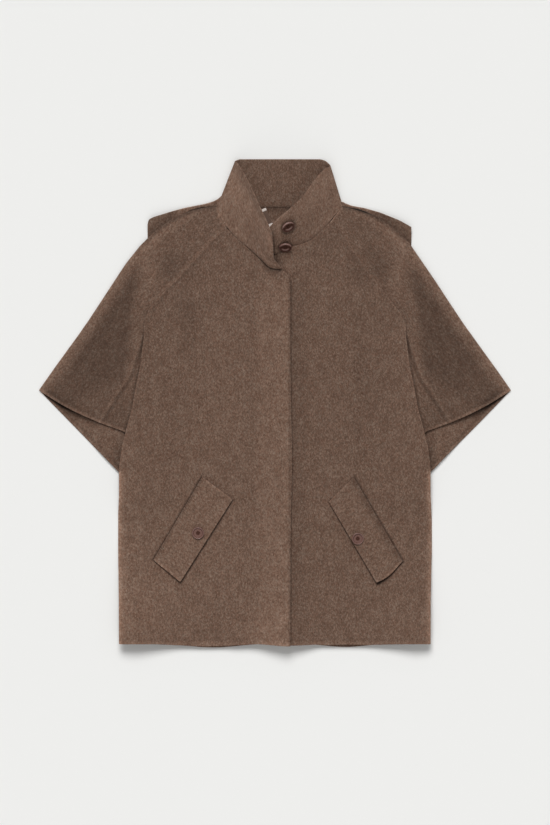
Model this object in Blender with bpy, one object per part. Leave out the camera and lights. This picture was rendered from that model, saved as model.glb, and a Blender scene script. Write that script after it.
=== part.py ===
"""Short raglan cape jacket in double-faced wool, laid flat on its back.

The garment lies in the XY plane on the surface z = 0: collar towards +Y, the wearer's
right side at -X, front upwards. Every cloth piece is a wall CLOTH thick. Pieces that are
sewn edge to edge stand GAP apart, and layers that lie on each other follow one set of
lay functions, so that each one clears the layer below it.
Sizes and places are in millimetres. `add_mesh` turns them into metres.
"""

import math

import bpy
import numpy as np

MM = 0.001
CLOTH = 2.0  # double-faced wool
GAP = 0.3  # between pieces sewn edge to edge, and between a panel and what lies on it
NECK_GAP = 0.9  # at the neck seam, where the collar turns up
STEP = CLOTH + GAP  # from one layer's underside to the next
AIR = 0.7  # extra room where one layer is tucked over another

# Driving sizes of the cut, as it lies
HALF_WIDTH = 253.5  # body, centre to side seam
UNDERARM_Y = -111.8  # where the side seam starts
HEM_Y = -390.0
CUFF_CORNER = (382.3, 20.5)  # where overarm seam and cuff meet
NECK_BACK_Y = 317.5
COLLAR_TOP_Y = 395.0
FRONT_EDGE_X = 24.5  # the right front's edge; the left front reaches as far the other way
FLAP_LOW_Y = 118.0  # lower edge of the storm flap, across the back

# The lay: how far the layers rise
BODY_LOFT = 4.5
RISE_WIDTH = 30.0  # a layer reaches its loft this far from a closed edge
FLAP_EASE = (26.0, 106.0)  # the back leaves the storm flap's level between these distances
TUCK_EASE = (20.0, 60.0)  # the sleeve comes down to the surface outside the armhole
OVER_EASE = (-105.0, -55.0)  # the front comes down inside the tucked sleeve
TUCK_START_Y = (160.0, 205.0)  # the raglan seam opens into the tuck between these heights
TUCK_END_Y = (-200.0, -140.0)  # and the front comes down again below the underarm
OVERLAP_EASE = (-88.0, -54.0)  # the right front climbs onto the left one
HEM_EASE = (-300.0, -385.0)  # the hem waves start and reach their full height

# Rows of the facets
RAGLAN_END_Y = 150.0
RAGLAN_ROWS = 7
BODY_ROWS = 18  # below the raglan seam
SLEEVE_ROWS = 10

SIDES = {"right": -1, "left": 1}

# Half outlines as (distance from the centre line, height) on each side of the wearer
RAGLAN = {
    "right": ((79.4, 285.1), (110.2, 254.3), (152.3, 207.4), (189.5, 168.5), (204.0, 150.0)),
    "left": ((100.4, 298.1), (129.6, 243.0), (158.8, 200.9), (190.5, 161.0), (203.0, 145.0)),
}
BACK_RAGLAN = {
    "right": ((63.0, 317.5), (104.0, 264.0), (152.3, 207.4), (189.5, 168.5), (204.0, 150.0)),
    "left": ((74.0, 317.5), (116.0, 262.0), (158.8, 200.9), (190.5, 161.0), (203.0, 145.0)),
}
ARMHOLE = ((210.6, 129.0), (215.5, 100.4), (220.5, 61.6), (228.0, 25.0), (234.5, -10.0),
           (243.8, -45.0), (248.5, -75.0), (HALF_WIDTH, UNDERARM_Y))
SHOULDER = {  # start at the neck, control point of the shoulder's curve, its end
    "right": ((96.6, 318.0), (162.0, 319.1), (218.7, 252.7)),
    "left": ((110.5, 318.6), (166.9, 317.5), (217.1, 258.6)),
}
UNDERARM_SEAM = ((206.5, 126.0), (218.0, 90.7), (235.7, 38.9), (254.3, 11.0), (281.9, -34.0))
FRONT_CUFF = ((281.9, -34.0), (319.0, -17.0), (349.5, 0.0), CUFF_CORNER)
WRAP_CUFF = ((216.0, -108.0), (228.0, -72.0), (242.5, -49.0), (262.0, -41.0), (281.9, -34.0))
TUCK_DEPTH = (12.0, 37.5)  # of the sleeve's hidden fold inside the armhole, top and cuff

RIGHT_NECK = ((-79.4, 285.1), (-61.6, 266.5), (-40.5, 247.9), (-21.0, 230.0), (-7.1, 217.8),
              (9.7, 216.2), (19.5, 209.0), (FRONT_EDGE_X, 196.0))
LEFT_NECK = ((-FRONT_EDGE_X, 236.0), (0.0, 241.4), (27.5, 251.1), (56.7, 262.4),
             (85.9, 286.7), (100.4, 298.1))
STORM_FLAP = {  # upper edge, from the neck outwards
    "right": ((70.0, 316.0), (97.0, 327.0), (121.5, 320.8), (176.6, 308.3), (198.0, 299.5),
              (205.7, 290.0)),
    "left": ((78.0, 316.0), (110.0, 326.4), (125.7, 319.1), (179.8, 305.0), (213.0, 290.5),
             (220.3, 284.0)),
}

# Soft rises of the cloth: centre, reach across and along, height
LOFTS = (
    # x, y, reach_x, reach_y, height
    (-305.0, -12.0, 95.0, 80.0, 4.5),
    (305.0, -12.0, 95.0, 80.0, 4.5),
    (10.0, 250.0, 120.0, 90.0, 3.0),
    (-120.0, 60.0, 90.0, 150.0, 1.2),
    (120.0, 40.0, 90.0, 160.0, 1.0),
)
# Waves that lift both layers of the hem off the surface: centre, reach, height
HEM_WAVES = (
    (-232.0, 62.0, 8.0),
    (8.0, 58.0, 6.0),
    (228.0, 62.0, 9.0),
)
# Dips where the back's hem shows below the fronts': centre, reach, length
HEM_DIPS = ((-102.0, 58.0, 5.0), (120.0, 48.0, 4.2))

# The collar, a row for each place along the strip: its seam and its top edge in plan, the
# height of its middle above the panel at the seam and above the surface at the top, and
# whether it lies on the surface there (the back) or stands (the fronts)
COLLAR = (
    # seam_x, seam_y, seam_rise, top_x, top_y, top_z, lies
    (9.7, 217.0, 1.6, -4.9, 277.5, 60.0, 0.0),
    (-7.1, 218.6, 0.8, -11.3, 294.8, 60.0, 0.0),
    (-21.1, 230.8, 0.3, -21.1, 315.9, 57.5, 0.0),
    (-40.5, 248.7, 0.2, -34.0, 340.2, 49.0, 0.0),
    (-61.6, 267.3, 0.3, -46.0, 361.3, 36.0, 0.0),
    (-78.0, 286.4, 1.2, -55.5, 379.0, 21.0, 0.0),
    (-93.3, 319.8, 1.0, -64.6, 390.0, 9.0, 0.5),
    (-80.0, 319.0, 0.3, -54.0, COLLAR_TOP_Y, 1.0, 1.0),
    (-40.5, 318.3, 0.3, -21.0, COLLAR_TOP_Y, 1.0, 1.0),
    (0.0, 318.3, 0.3, 9.7, COLLAR_TOP_Y, 1.0, 1.0),
    (45.0, 318.3, 0.3, 45.0, COLLAR_TOP_Y, 1.0, 1.0),
    (92.0, 319.0, 0.3, 73.0, COLLAR_TOP_Y, 1.2, 1.0),
    (107.2, 320.8, 1.0, 89.5, 380.7, 9.0, 0.5),
    (98.8, 299.6, 1.2, 76.5, 375.8, 18.5, 0.0),
    (85.9, 287.6, 0.3, 61.6, 359.6, 30.5, 0.0),
    (56.7, 263.4, 0.2, 45.4, 335.3, 42.5, 0.0),
    (27.5, 252.0, 0.2, 25.9, 315.9, 49.0, 0.0),
    (0.0, 242.4, 0.2, 6.5, 298.1, 50.5, 0.0),
    (-21.0, 237.5, 0.0, -9.0, 287.5, 48.5, 0.0),
)
RIGHT_FOLD, LEFT_FOLD = 6, 12  # the rows at the collar's folded sides

POCKET_FLAPS = {  # corners: top and foot of the sewn side, top and foot of the free side
    "right": ((-117.5, -118.3), (-198.5, -253.7), (-68.2, -156.0), (-152.9, -291.3)),
    "left": ((127.6, -118.3), (208.7, -252.9), (86.3, -163.3), (163.8, -292.7)),
}
POCKET_FLAP_LIFT = {"right": 1.2, "left": 2.6}  # of the free side

FLAP_BUTTON = 19.0  # diameters
COLLAR_BUTTON = 21.0
BUTTON_HEIGHT = 3.4
BUTTON_HOLE = 1.9
HOLE_SIDES = 6
BUTTON_HOLE_SPREAD = 2.1  # from the centre, along each diagonal
FLAP_BUTTONS = {"right": (-124.7, -210.6), "left": (134.1, -219.7)}
COLLAR_BUTTONS = {  # centre, tilt of the face, turn about the upright
    "upper": (21.4, 285.9, 42.0, 25.0),
    "lower": (16.8, 252.9, 40.0, 3.0),
}

LABEL_SIZE = (34.0, 24.0)  # along and across the collar's free edge
LABEL_THICKNESS = 0.8
LABEL_CENTRE = (-22.6, 295.3)
LABEL_TURN = 23.4


# Curves in plan


def smoothstep(value, low, high):
    """0 at low, 1 at high, level at both ends."""
    part = np.clip((value - low) / (high - low), 0.0, 1.0)
    return part * part * (3.0 - 2.0 * part)


def through(points, steps=12):
    """A dense smooth curve through the points: a cubic between neighbours, whose slope at
    each point is that of the line between the points before and after it."""
    points = np.asarray(points, float)
    lengths = np.concatenate([[0], np.cumsum(np.linalg.norm(np.diff(points, axis=0), axis=1))])
    slopes = np.gradient(points, lengths, axis=0)
    span = np.repeat(np.arange(len(points) - 1), steps)
    part = np.tile(np.arange(steps) / steps, len(points) - 1)[:, None]
    run = np.diff(lengths)[span][:, None]
    a, b = points[span], points[span + 1]
    slope_a, slope_b = slopes[span] * run, slopes[span + 1] * run
    curve = (
        a * (1 - part) ** 2 * (1 + 2 * part)
        + b * part**2 * (3 - 2 * part)
        + slope_a * part * (1 - part) ** 2
        - slope_b * part**2 * (1 - part)
    )
    return np.vstack([curve, points[-1:]])


def spaced(curve, count):
    """`count` points evenly spaced along a dense curve."""
    lengths = np.concatenate([[0], np.cumsum(np.linalg.norm(np.diff(curve, axis=0), axis=1))])
    places = np.linspace(0, lengths[-1], count)
    return np.stack([np.interp(places, lengths, column) for column in curve.T], axis=-1)


def at_heights(curve, heights):
    """The points of a falling curve at these heights."""
    return np.stack([np.interp(-heights, -curve[:, 1], curve[:, 0]), heights], axis=-1)


def moved_aside(curve, distance):
    """The curve moved to the left of its direction."""
    along = np.gradient(curve, axis=0)
    along /= np.linalg.norm(along, axis=1)[:, None]
    return curve + distance * np.stack([-along[:, 1], along[:, 0]], axis=-1)


def mirrored(curve, side):
    return np.asarray(curve, float) * (SIDES[side], 1)


def patch(first, last, start, end):
    """A grid that fills four edges: rows run from `first` to `last`, whose ends lie on
    `start` and `end`. It adds the two ruled fills and takes away the four corners' fill."""
    rows = np.linspace(0, 1, len(first))[:, None, None]
    columns = np.linspace(0, 1, len(start))[None, :, None]
    across = first[:, None] * (1 - columns) + last[:, None] * columns
    along = start[None] * (1 - rows) + end[None] * rows
    corners = (start[0] * (1 - columns) + start[-1] * columns) * (1 - rows) + (
        end[0] * (1 - columns) + end[-1] * columns
    ) * rows
    return across + along - corners


def below_raglan(top, *stretches):
    """Heights of a piece's rows: evenly down the raglan seam, so that the two pieces sewn
    there have the same rows, and then down each further stretch (start, end, count)."""
    heights = [np.linspace(top, RAGLAN_END_Y, RAGLAN_ROWS)]
    heights += [np.linspace(*stretch)[stretch[0] == RAGLAN_END_Y :] for stretch in stretches]
    return np.concatenate(heights)


SEAM_LINES = {side: through(RAGLAN[side] + ARMHOLE) for side in SIDES}
BACK_SEAM_LINES = {side: through(BACK_RAGLAN[side] + ARMHOLE) for side in SIDES}
SLEEVE_LINES = {side: through(RAGLAN[side] + UNDERARM_SEAM) for side in SIDES}


def overarm(side, count):
    """The sleeve's folded edge: a quadratic curve over the shoulder, then straight to the
    cuff's corner."""
    start, control, end = np.asarray(SHOULDER[side])
    part = np.linspace(0, 1, 30)[:, None]
    shoulder = start * (1 - part) ** 2 + 2 * control * part * (1 - part) + end * part**2
    return spaced(np.vstack([shoulder, CUFF_CORNER]), count)


# The lay: heights of the layers' undersides at any place


def seam_distance(x, y):
    """How far outside the raglan and armhole line a place is, along X."""
    lines = [np.interp(-y, -SEAM_LINES[s][:, 1], SEAM_LINES[s][:, 0]) for s in SIDES]
    return np.abs(x) - np.where(x < 0, lines[0], lines[1])


def closed_edge(x, y):
    """Half width at each height, to the edge where front and back meet: overarm, cuff
    line, side seam."""
    edges = []
    for side in SIDES:
        edge = np.vstack([overarm(side, 40), (HALF_WIDTH, UNDERARM_Y)])
        edges.append(np.interp(-y, -edge[:, 1], edge[:, 0]))
    return np.where(x < 0, edges[0], edges[1])


def loft(x, y):
    """How far the front layer rises off the back one: nothing at the closed edges."""
    rise = np.full(np.shape(x), BODY_LOFT)
    for centre_x, centre_y, reach_x, reach_y, height in LOFTS:
        far = np.hypot((x - centre_x) / reach_x, (y - centre_y) / reach_y)
        rise = rise + height * (1 - smoothstep(far, 0, 1))
    return rise * smoothstep(closed_edge(x, y) - np.abs(x), -4.0, RISE_WIDTH)


def hem_lift(x, y):
    """Waves of the hem, both layers together."""
    lift = sum(
        height * (1 - smoothstep(np.abs(x - centre), 0, reach))
        for centre, reach, height in HEM_WAVES
    )
    return lift * smoothstep(-y, -HEM_EASE[0], -HEM_EASE[1])


def back_under(x, y):
    """Underside of the back: on the surface, or on the storm flap and past its edges."""
    half = np.where(x < 0, STORM_FLAP["right"][-1][0], STORM_FLAP["left"][-1][0])
    on_flap = 1 - smoothstep(np.abs(x) - half, *FLAP_EASE)
    on_flap = on_flap * (1 - smoothstep(FLAP_LOW_Y - y, *FLAP_EASE))
    return STEP * on_flap + hem_lift(x, y)


def opening(y):
    """1 where the sleeve is tucked into the armhole, 0 where the raglan seam is flat."""
    return 1 - smoothstep(y, *TUCK_START_Y)


def sleeve_back_under(x, y):
    tucked = opening(y) * (1 - smoothstep(seam_distance(x, y), *TUCK_EASE))
    return back_under(x, y) + (STEP + AIR) * tucked


def sleeve_front_under(x, y):
    return sleeve_back_under(x, y) + STEP + loft(x, y)


def left_front_under(x, y):
    over = opening(y) * smoothstep(y, *TUCK_END_Y) * smoothstep(seam_distance(x, y), *OVER_EASE)
    return back_under(x, y) + STEP + loft(x, y) + 2 * (STEP + AIR) * over


def right_front_under(x, y):
    return left_front_under(x, y) + (STEP + AIR) * smoothstep(x, *OVERLAP_EASE)


FRONT_UNDERS = {"right": right_front_under, "left": left_front_under}


# Solids


def material(name, rgb, roughness):
    """A Principled material from a display colour of 0 to 255."""
    made = bpy.data.materials.new(name)
    made.use_nodes = True
    shader = made.node_tree.nodes["Principled BSDF"]
    linear = [((c / 255 + 0.055) / 1.055) ** 2.4 for c in rgb]
    shader.inputs["Base Color"].default_value = (*linear, 1.0)
    shader.inputs["Roughness"].default_value = roughness
    return made


def add_mesh(name, points, faces, look):
    mesh = bpy.data.meshes.new(name)
    mesh.from_pydata((np.asarray(points) * MM).tolist(), [], faces)
    mesh.materials.append(look)
    made = bpy.data.objects.new(name, mesh)
    bpy.context.scene.collection.objects.link(made)
    return made


def add_wall(name, blocks, look, thickness=CLOTH):
    """A closed wall around a middle surface. Each block is (points, outward directions) on
    a grid, and blocks that share an edge have the same points there. The middle surface
    is copied out and in by half the thickness, and its open edges get a rim."""
    points, outward, quads = [], [], []
    for grid, directions in blocks:
        rows, columns = grid.shape[:2]
        index = np.arange(rows * columns).reshape(rows, columns) + sum(map(len, points))
        corners = (index[:-1, :-1], index[1:, :-1], index[1:, 1:], index[:-1, 1:])
        quads.append(np.stack([c.ravel() for c in corners], axis=-1))
        points.append(grid.reshape(-1, 3))
        outward.append(directions.reshape(-1, 3))
    points, outward, quads = (np.concatenate(part) for part in (points, outward, quads))
    _, first, shared = np.unique(
        np.round(points, 4), axis=0, return_index=True, return_inverse=True
    )
    points, outward, quads = points[first], outward[first], shared.reshape(-1)[quads]
    outward = outward / np.linalg.norm(outward, axis=1)[:, None] * thickness / 2
    edges = np.concatenate([quads[:, [i, (i + 1) % 4]] for i in range(4)])
    inner_edges = set(map(tuple, edges[:, ::-1]))
    open_edges = [(a, b) for a, b in map(tuple, edges) if (a, b) not in inner_edges]
    count = len(points)
    rim = [(b, a, a + count, b + count) for a, b in open_edges]
    faces = quads.tolist() + (quads[:, ::-1] + count).tolist() + rim
    return add_mesh(name, np.vstack([points + outward, points - outward]), faces, look)


def laid(plan, underside, way=1, thickness=CLOTH):
    """A block for a piece that lies flat: its plan grid at the middle of the layer with
    this underside, a lay function or heights. It faces up, or down for an outer side that
    lies below."""
    x, y = plan[..., 0], plan[..., 1]
    heights = underside(x, y) if callable(underside) else underside
    grid = facing(np.dstack([x, y, heights + thickness / 2 + 0 * x]), way > 0)
    return grid, np.broadcast_to(np.array([0.0, 0.0, way]), grid.shape)


def facing(grid, up):
    """The grid with its columns ordered so that its faces turn up, or down."""
    a = grid[1, 0] - grid[0, 0]
    b = grid[0, 1] - grid[0, 0]
    return grid if (a[0] * b[1] - a[1] * b[0] > 0) == up else grid[:, ::-1]


# The pieces


def hem_line(x, back):
    """Height of the hem along the body: the fronts' is straight, the back's dips."""
    dip = sum(
        length * (1 - smoothstep(np.abs(x - centre), 0, reach))
        for centre, reach, length in HEM_DIPS
    )
    return HEM_Y - dip * back


def hem_edge(start_x, end_x, back, columns):
    x = np.linspace(start_x, end_x, columns)
    return np.stack([x, hem_line(x, back)], axis=-1)


def side_edge(line, side):
    """The raglan seam, the armhole and the side seam down to the hem."""
    curve = np.vstack([line, (HALF_WIDTH, HEM_Y)])
    heights = below_raglan(line[0, 1], (RAGLAN_END_Y, HEM_Y, BODY_ROWS))
    return mirrored(at_heights(curve, heights) - (GAP / 2, 0), side)


def front(side, look):
    """A front: neck seam above, raglan, armhole and side seam outside, straight edge at
    the centre."""
    columns = 11
    neck = np.asarray(RIGHT_NECK if side == "right" else LEFT_NECK[::-1], float)
    neck = spaced(through(neck), columns)
    neck = moved_aside(neck, SIDES[side] * NECK_GAP)
    outer = side_edge(SEAM_LINES[side], side)
    neck[0] = outer[0]
    centre_x = -SIDES[side] * FRONT_EDGE_X
    heights = HEM_Y + (neck[-1, 1] - HEM_Y) * (outer[:, 1] - HEM_Y) / (outer[0, 1] - HEM_Y)
    centre = np.stack([np.full(len(outer), centre_x), heights], axis=-1)
    centre[0] = neck[-1]
    hem = hem_edge(outer[-1, 0], centre_x, 0, columns)
    plan = patch(outer, centre, neck, hem)
    return add_wall(f"{side}_front", [laid(plan, FRONT_UNDERS[side])], look)


def back(look):
    columns = 18
    edges = [side_edge(BACK_SEAM_LINES[side], side) for side in SIDES]
    neck = np.linspace(edges[0][0], edges[1][0], columns)
    hem = hem_edge(edges[0][-1, 0], edges[1][-1, 0], 1, columns)
    plan = patch(edges[0], edges[1], neck, hem)
    return add_wall("back", [laid(plan, back_under, -1)], look)


def sleeve_front(side, look):
    columns = 10
    stretch = (UNDERARM_SEAM[0][1], UNDERARM_SEAM[-1][1], SLEEVE_ROWS)
    inner = at_heights(SLEEVE_LINES[side], below_raglan(RAGLAN[side][0][1], stretch))
    inner = mirrored(inner + (GAP / 2, 0), side)
    outer = mirrored(overarm(side, len(inner)), side)
    neck = np.linspace(inner[0], outer[0], columns)
    cuff = mirrored(spaced(through(FRONT_CUFF), columns), side)
    cuff[0] = inner[-1]
    plan = patch(inner, outer, neck, cuff)
    return add_wall(f"sleeve_front_{side}", [laid(plan, sleeve_front_under)], look)


def sleeve_back(side, look):
    """The sleeve's back lies under its front. At the armhole it runs in between the body's
    front and back, folds over there and comes out again above, to the underarm seam."""
    columns = 10
    stretch = (RAGLAN_END_Y, UNDERARM_Y, SLEEVE_ROWS + 1)
    seam = at_heights(BACK_SEAM_LINES[side], below_raglan(NECK_BACK_Y, stretch)) + (GAP / 2, 0)
    outer = overarm(side, len(seam))
    neck = np.linspace(seam[0], outer[0], columns)
    cuff = np.linspace(seam[-1], outer[-1], columns)
    visible = patch(seam, outer, neck, cuff)

    tucked_seam = seam[-SLEEVE_ROWS:]
    part = np.linspace(0, 1, len(tucked_seam))
    fold = tucked_seam - np.stack([np.interp(part, [0, 1], TUCK_DEPTH), 0 * part], axis=-1)
    fold[-1] = WRAP_CUFF[0]
    hidden = np.linspace(fold, tucked_seam, 3, axis=1)

    heights = np.linspace(UNDERARM_SEAM[0][1], UNDERARM_SEAM[-1][1], SLEEVE_ROWS)
    underarm = at_heights(SLEEVE_LINES[side], heights) - (GAP / 2, 0)
    wrap_top = np.linspace(fold[0], underarm[0], 6)
    wrap_cuff = spaced(through(WRAP_CUFF), 6)
    wrap_cuff[-1] = underarm[-1]
    wrap = patch(fold, underarm, wrap_top, wrap_cuff)

    blocks = []
    for plan, under, way in (
        (visible, sleeve_back_under, -1),
        (hidden, sleeve_back_under, -1),
        (wrap, sleeve_front_under, 1),
    ):
        blocks.append(laid(mirrored(plan, side), under, way))
    blocks.append(turned_edge(mirrored(fold, side), side))
    return add_wall(f"sleeve_back_{side}", blocks, look)


def turned_edge(fold, side):
    """The half-round turn between the sleeve's lower and upper layers along their fold."""
    x, y = fold.T
    low = sleeve_back_under(x, y) + CLOTH / 2
    high = sleeve_front_under(x, y) + CLOTH / 2
    radius = (high - low) / 2
    angles = np.linspace(-math.pi / 2, math.pi / 2, 5)
    across = -SIDES[side] * np.cos(angles)
    grid = np.stack(
        [
            x[:, None] + radius[:, None] * across,
            y[:, None] + 0 * angles,
            (low + high)[:, None] / 2 + radius[:, None] * np.sin(angles),
        ],
        axis=-1,
    )
    grid[:, 0] = np.stack([x, y, low], axis=-1)
    grid[:, -1] = np.stack([x, y, high], axis=-1)
    outward = np.stack([across, 0 * angles, np.sin(angles)], axis=-1)
    outward = np.broadcast_to(outward, grid.shape)
    if side == "right":
        return grid[:, ::-1], outward[:, ::-1]
    return grid, outward


def storm_flap(look):
    """The cape over the shoulder blades: it lies below all, and its ends stick out past
    the shoulders."""
    top = np.vstack(
        [
            mirrored(through(STORM_FLAP["right"])[::-1], "right"),
            mirrored(through(STORM_FLAP["left"]), "left"),
        ]
    )
    top = spaced(top, 23)
    ends = [np.array([corner, (corner[0], FLAP_LOW_Y)]) for corner in (top[0], top[-1])]
    low = np.linspace(ends[0][-1], ends[1][-1], len(top))
    plan = patch(ends[0], ends[1], top, low)
    return add_wall("storm_flap", [laid(plan, 0.0, -1)], look)


def collar_grid():
    """The collar's middle surface and its outward directions. The rows of COLLAR are
    joined smoothly along the strip. From the seam to the top edge the standing fronts
    rise in a straight line, and the lying back comes down to the surface."""
    rows = np.array(COLLAR)
    seam_x, seam_y, rise = rows[:, 0], rows[:, 1], rows[:, 2]
    panel = np.full(len(rows), STEP)
    panel[:RIGHT_FOLD] = right_front_under(seam_x[:RIGHT_FOLD], seam_y[:RIGHT_FOLD])
    panel[LEFT_FOLD + 1 :] = left_front_under(seam_x[LEFT_FOLD + 1 :], seam_y[LEFT_FOLD + 1 :])
    panel[[RIGHT_FOLD, LEFT_FOLD]] += CLOTH
    stations = np.column_stack([seam_x, seam_y, panel + CLOTH / 2 + rise, rows[:, 3:]])
    strip = spaced(through(stations, 20), 43)
    strip[:, [2, 5]] = np.maximum(strip[:, [2, 5]], CLOTH / 2)
    strip[:, 4] = np.minimum(strip[:, 4], COLLAR_TOP_Y)
    seam, top, lies = strip[:, :3], strip[:, 3:6], np.clip(strip[:, 6], 0, 1)[:, None, None]
    across = np.linspace(0, 1, 7)[None, :, None]
    grid = seam[:, None] * (1 - across) + top[:, None] * across
    flat = smoothstep(across, 0.2, 0.75)
    grid[..., 2:] += lies * (flat - across) * (top - seam)[:, None, 2:]
    along = np.gradient(grid, axis=0)
    up = np.gradient(grid, axis=1)
    outward = np.cross(along, up)
    return grid, outward / np.linalg.norm(outward, axis=-1)[..., None]


def collar(look):
    grid, outward = collar_grid()
    return add_wall("collar", [(grid, outward)], look)


def pocket_flap(side, look):
    sewn_top, sewn_foot, free_top, free_foot = np.asarray(POCKET_FLAPS[side])
    across = np.linspace(0, 1, 6)[None, :, None]
    along = np.linspace(0, 1, 9)[:, None, None]
    sewn = sewn_top * (1 - along) + sewn_foot * along
    free = free_top * (1 - along) + free_foot * along
    plan = sewn * (1 - across) + free * across
    lift = POCKET_FLAP_LIFT[side] * smoothstep(across[..., 0], 0, 1)
    heights = FRONT_UNDERS[side](plan[..., 0], plan[..., 1]) + CLOTH + AIR + lift
    return add_wall(f"pocket_flap_{side}", [laid(plan, heights)], look)


def button(name, diameter, place, tilt, turn, look):
    """A turned button with a raised rim, a dished middle and four holes. The profile runs
    from the axis at the top over the rim and back to the axis below."""
    radius = diameter / 2
    profile = (
        # part of the radius, height
        (0.0, 0.55), (0.56, 0.55), (0.66, 0.9), (0.86, 1.0), (0.97, 0.8), (1.0, 0.5),
        (0.92, 0.12), (0.7, 0.0), (0.0, 0.0),
    )
    sides = 16
    angles = np.arange(sides) * 2 * math.pi / sides
    rings = [
        np.stack(
            [
                part * radius * np.cos(angles),
                part * radius * np.sin(angles),
                np.full(sides, (height - 0.5) * BUTTON_HEIGHT),
            ],
            axis=-1,
        )
        for part, height in profile[1:-1]
    ]
    ends = [(0, 0, (profile[0][1] - 0.5) * BUTTON_HEIGHT), (0, 0, -0.5 * BUTTON_HEIGHT)]
    points = np.vstack(rings + [ends])
    top, foot = len(points) - 2, len(points) - 1
    last = (len(rings) - 1) * sides
    faces = []
    for i in range(sides):
        j = (i + 1) % sides
        faces.append((top, i, j))
        faces.append((foot, last + j, last + i))
        for ring in range(0, last, sides):
            faces.append((ring + i, ring + sides + i, ring + sides + j, ring + j))
    made = add_mesh(name, points, faces, look)
    made.location = np.asarray(place) * MM
    made.rotation_euler = (tilt, 0, turn)
    return made


def thread_holes(made):
    """Cuts the four sewing holes."""
    corners = [(BUTTON_HOLE_SPREAD * a, BUTTON_HOLE_SPREAD * b) for a in (-1, 1) for b in (-1, 1)]
    for number, (x, y) in enumerate(corners):
        angles = np.arange(HOLE_SIDES) * 2 * math.pi / HOLE_SIDES
        ring = np.stack([x + BUTTON_HOLE / 2 * np.cos(angles), y + BUTTON_HOLE / 2 * np.sin(angles)])
        heights = (-BUTTON_HEIGHT, BUTTON_HEIGHT)
        points = [(*ring[:, i], z) for z in heights for i in range(HOLE_SIDES)]
        low, high = list(range(HOLE_SIDES)), list(range(HOLE_SIDES, 2 * HOLE_SIDES))
        faces = [low[::-1], high]
        faces += [(low[i - 1], low[i], high[i], high[i - 1]) for i in low]
        cutter = add_mesh(f"{made.name}_hole_{number}", points, faces, made.data.materials[0])
        cutter.parent = made
        cutter.hide_render = True
        cutter.display_type = "WIRE"
        cut = made.modifiers.new(f"hole_{number}", "BOOLEAN")
        cut.operation = "DIFFERENCE"
        cut.object = cutter


def flap_button(side, look):
    x, y = FLAP_BUTTONS[side]
    panel = float(FRONT_UNDERS[side](np.array(x), np.array(y)))
    seat = panel + 2 * CLOTH + AIR + POCKET_FLAP_LIFT[side]
    height = seat + GAP + BUTTON_HEIGHT / 2
    made = button(f"flap_button_{side}", FLAP_BUTTON, (x, y, height), 0, 0, look)
    thread_holes(made)
    return made


def collar_button(place, look):
    """A collar button tipped on its thread: its lower edge touches the left collar. The
    collar there is taken as the plane that fits the strip's points near the button."""
    x, y, tilt, turn = COLLAR_BUTTONS[place]
    grid, _ = collar_grid()
    left_half = grid[len(grid) // 2 :].reshape(-1, 3)
    near = left_half[np.hypot(left_half[:, 0] - x, left_half[:, 1] - y) < COLLAR_BUTTON]
    plane = np.linalg.lstsq(
        np.column_stack([near[:, :2], np.ones(len(near))]), near[:, 2], rcond=None
    )[0]
    wall = CLOTH / 2 * math.hypot(1.0, math.hypot(*plane[:2]))
    tilt, turn = math.radians(tilt), math.radians(turn)
    angles = np.linspace(0, 2 * math.pi, 25)
    across, along = np.cos(angles) * COLLAR_BUTTON / 2, np.sin(angles) * COLLAR_BUTTON / 2
    low = -BUTTON_HEIGHT / 2
    down = along * math.cos(tilt) - low * math.sin(tilt)
    rim_x = x + across * math.cos(turn) - down * math.sin(turn)
    rim_y = y + across * math.sin(turn) + down * math.cos(turn)
    rim_z = along * math.sin(tilt) + low * math.cos(tilt)
    height = np.max(rim_x * plane[0] + rim_y * plane[1] + plane[2] + wall + GAP - rim_z)
    made = button(f"collar_button_{place}", COLLAR_BUTTON, (x, y, height), tilt, turn, look)
    thread_holes(made)
    return made


def neck_label(look):
    """A plain woven label on the inside of the back, under the right collar's edge."""
    half_along, half_across = LABEL_SIZE[0] / 2, LABEL_SIZE[1] / 2
    turn = math.radians(LABEL_TURN)
    plan = np.array(
        [[(-half_across, half_along), (half_across, half_along)],
         [(-half_across, -half_along), (half_across, -half_along)]]
    )
    turned = np.array([[math.cos(turn), math.sin(turn)], [-math.sin(turn), math.cos(turn)]])
    plan = plan @ turned + LABEL_CENTRE
    seat = STEP + CLOTH + GAP
    block = laid(plan, seat, thickness=LABEL_THICKNESS)
    return add_wall("neck_label", [block], look, LABEL_THICKNESS)


def build():
    for old in list(bpy.data.objects):
        bpy.data.objects.remove(old)
    wool = material("brown_wool", (108, 86, 73), 0.95)
    horn = material("brown_button", (74, 50, 44), 0.35)
    woven = material("plain_label", (225, 220, 210), 0.8)
    storm_flap(wool)
    back(wool)
    for side in SIDES:
        sleeve_back(side, wool)
        sleeve_front(side, wool)
        front(side, wool)
        pocket_flap(side, wool)
        flap_button(side, horn)
    collar(wool)
    for place in COLLAR_BUTTONS:
        collar_button(place, horn)
    neck_label(woven)


build()
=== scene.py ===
"""Short raglan cape jacket in brushed brown wool, laid flat on a pale table.

The wearer's right side is at -X, the collar towards +Y, the front upwards. Lengths are in
millimetres until a mesh is made. Every cloth piece is a shell round a middle surface, and
every middle surface is a function of two parameters on a grid. Height functions shared by
all pieces say where each layer lies, so that each one clears the layer below it.
"""

import math

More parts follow.
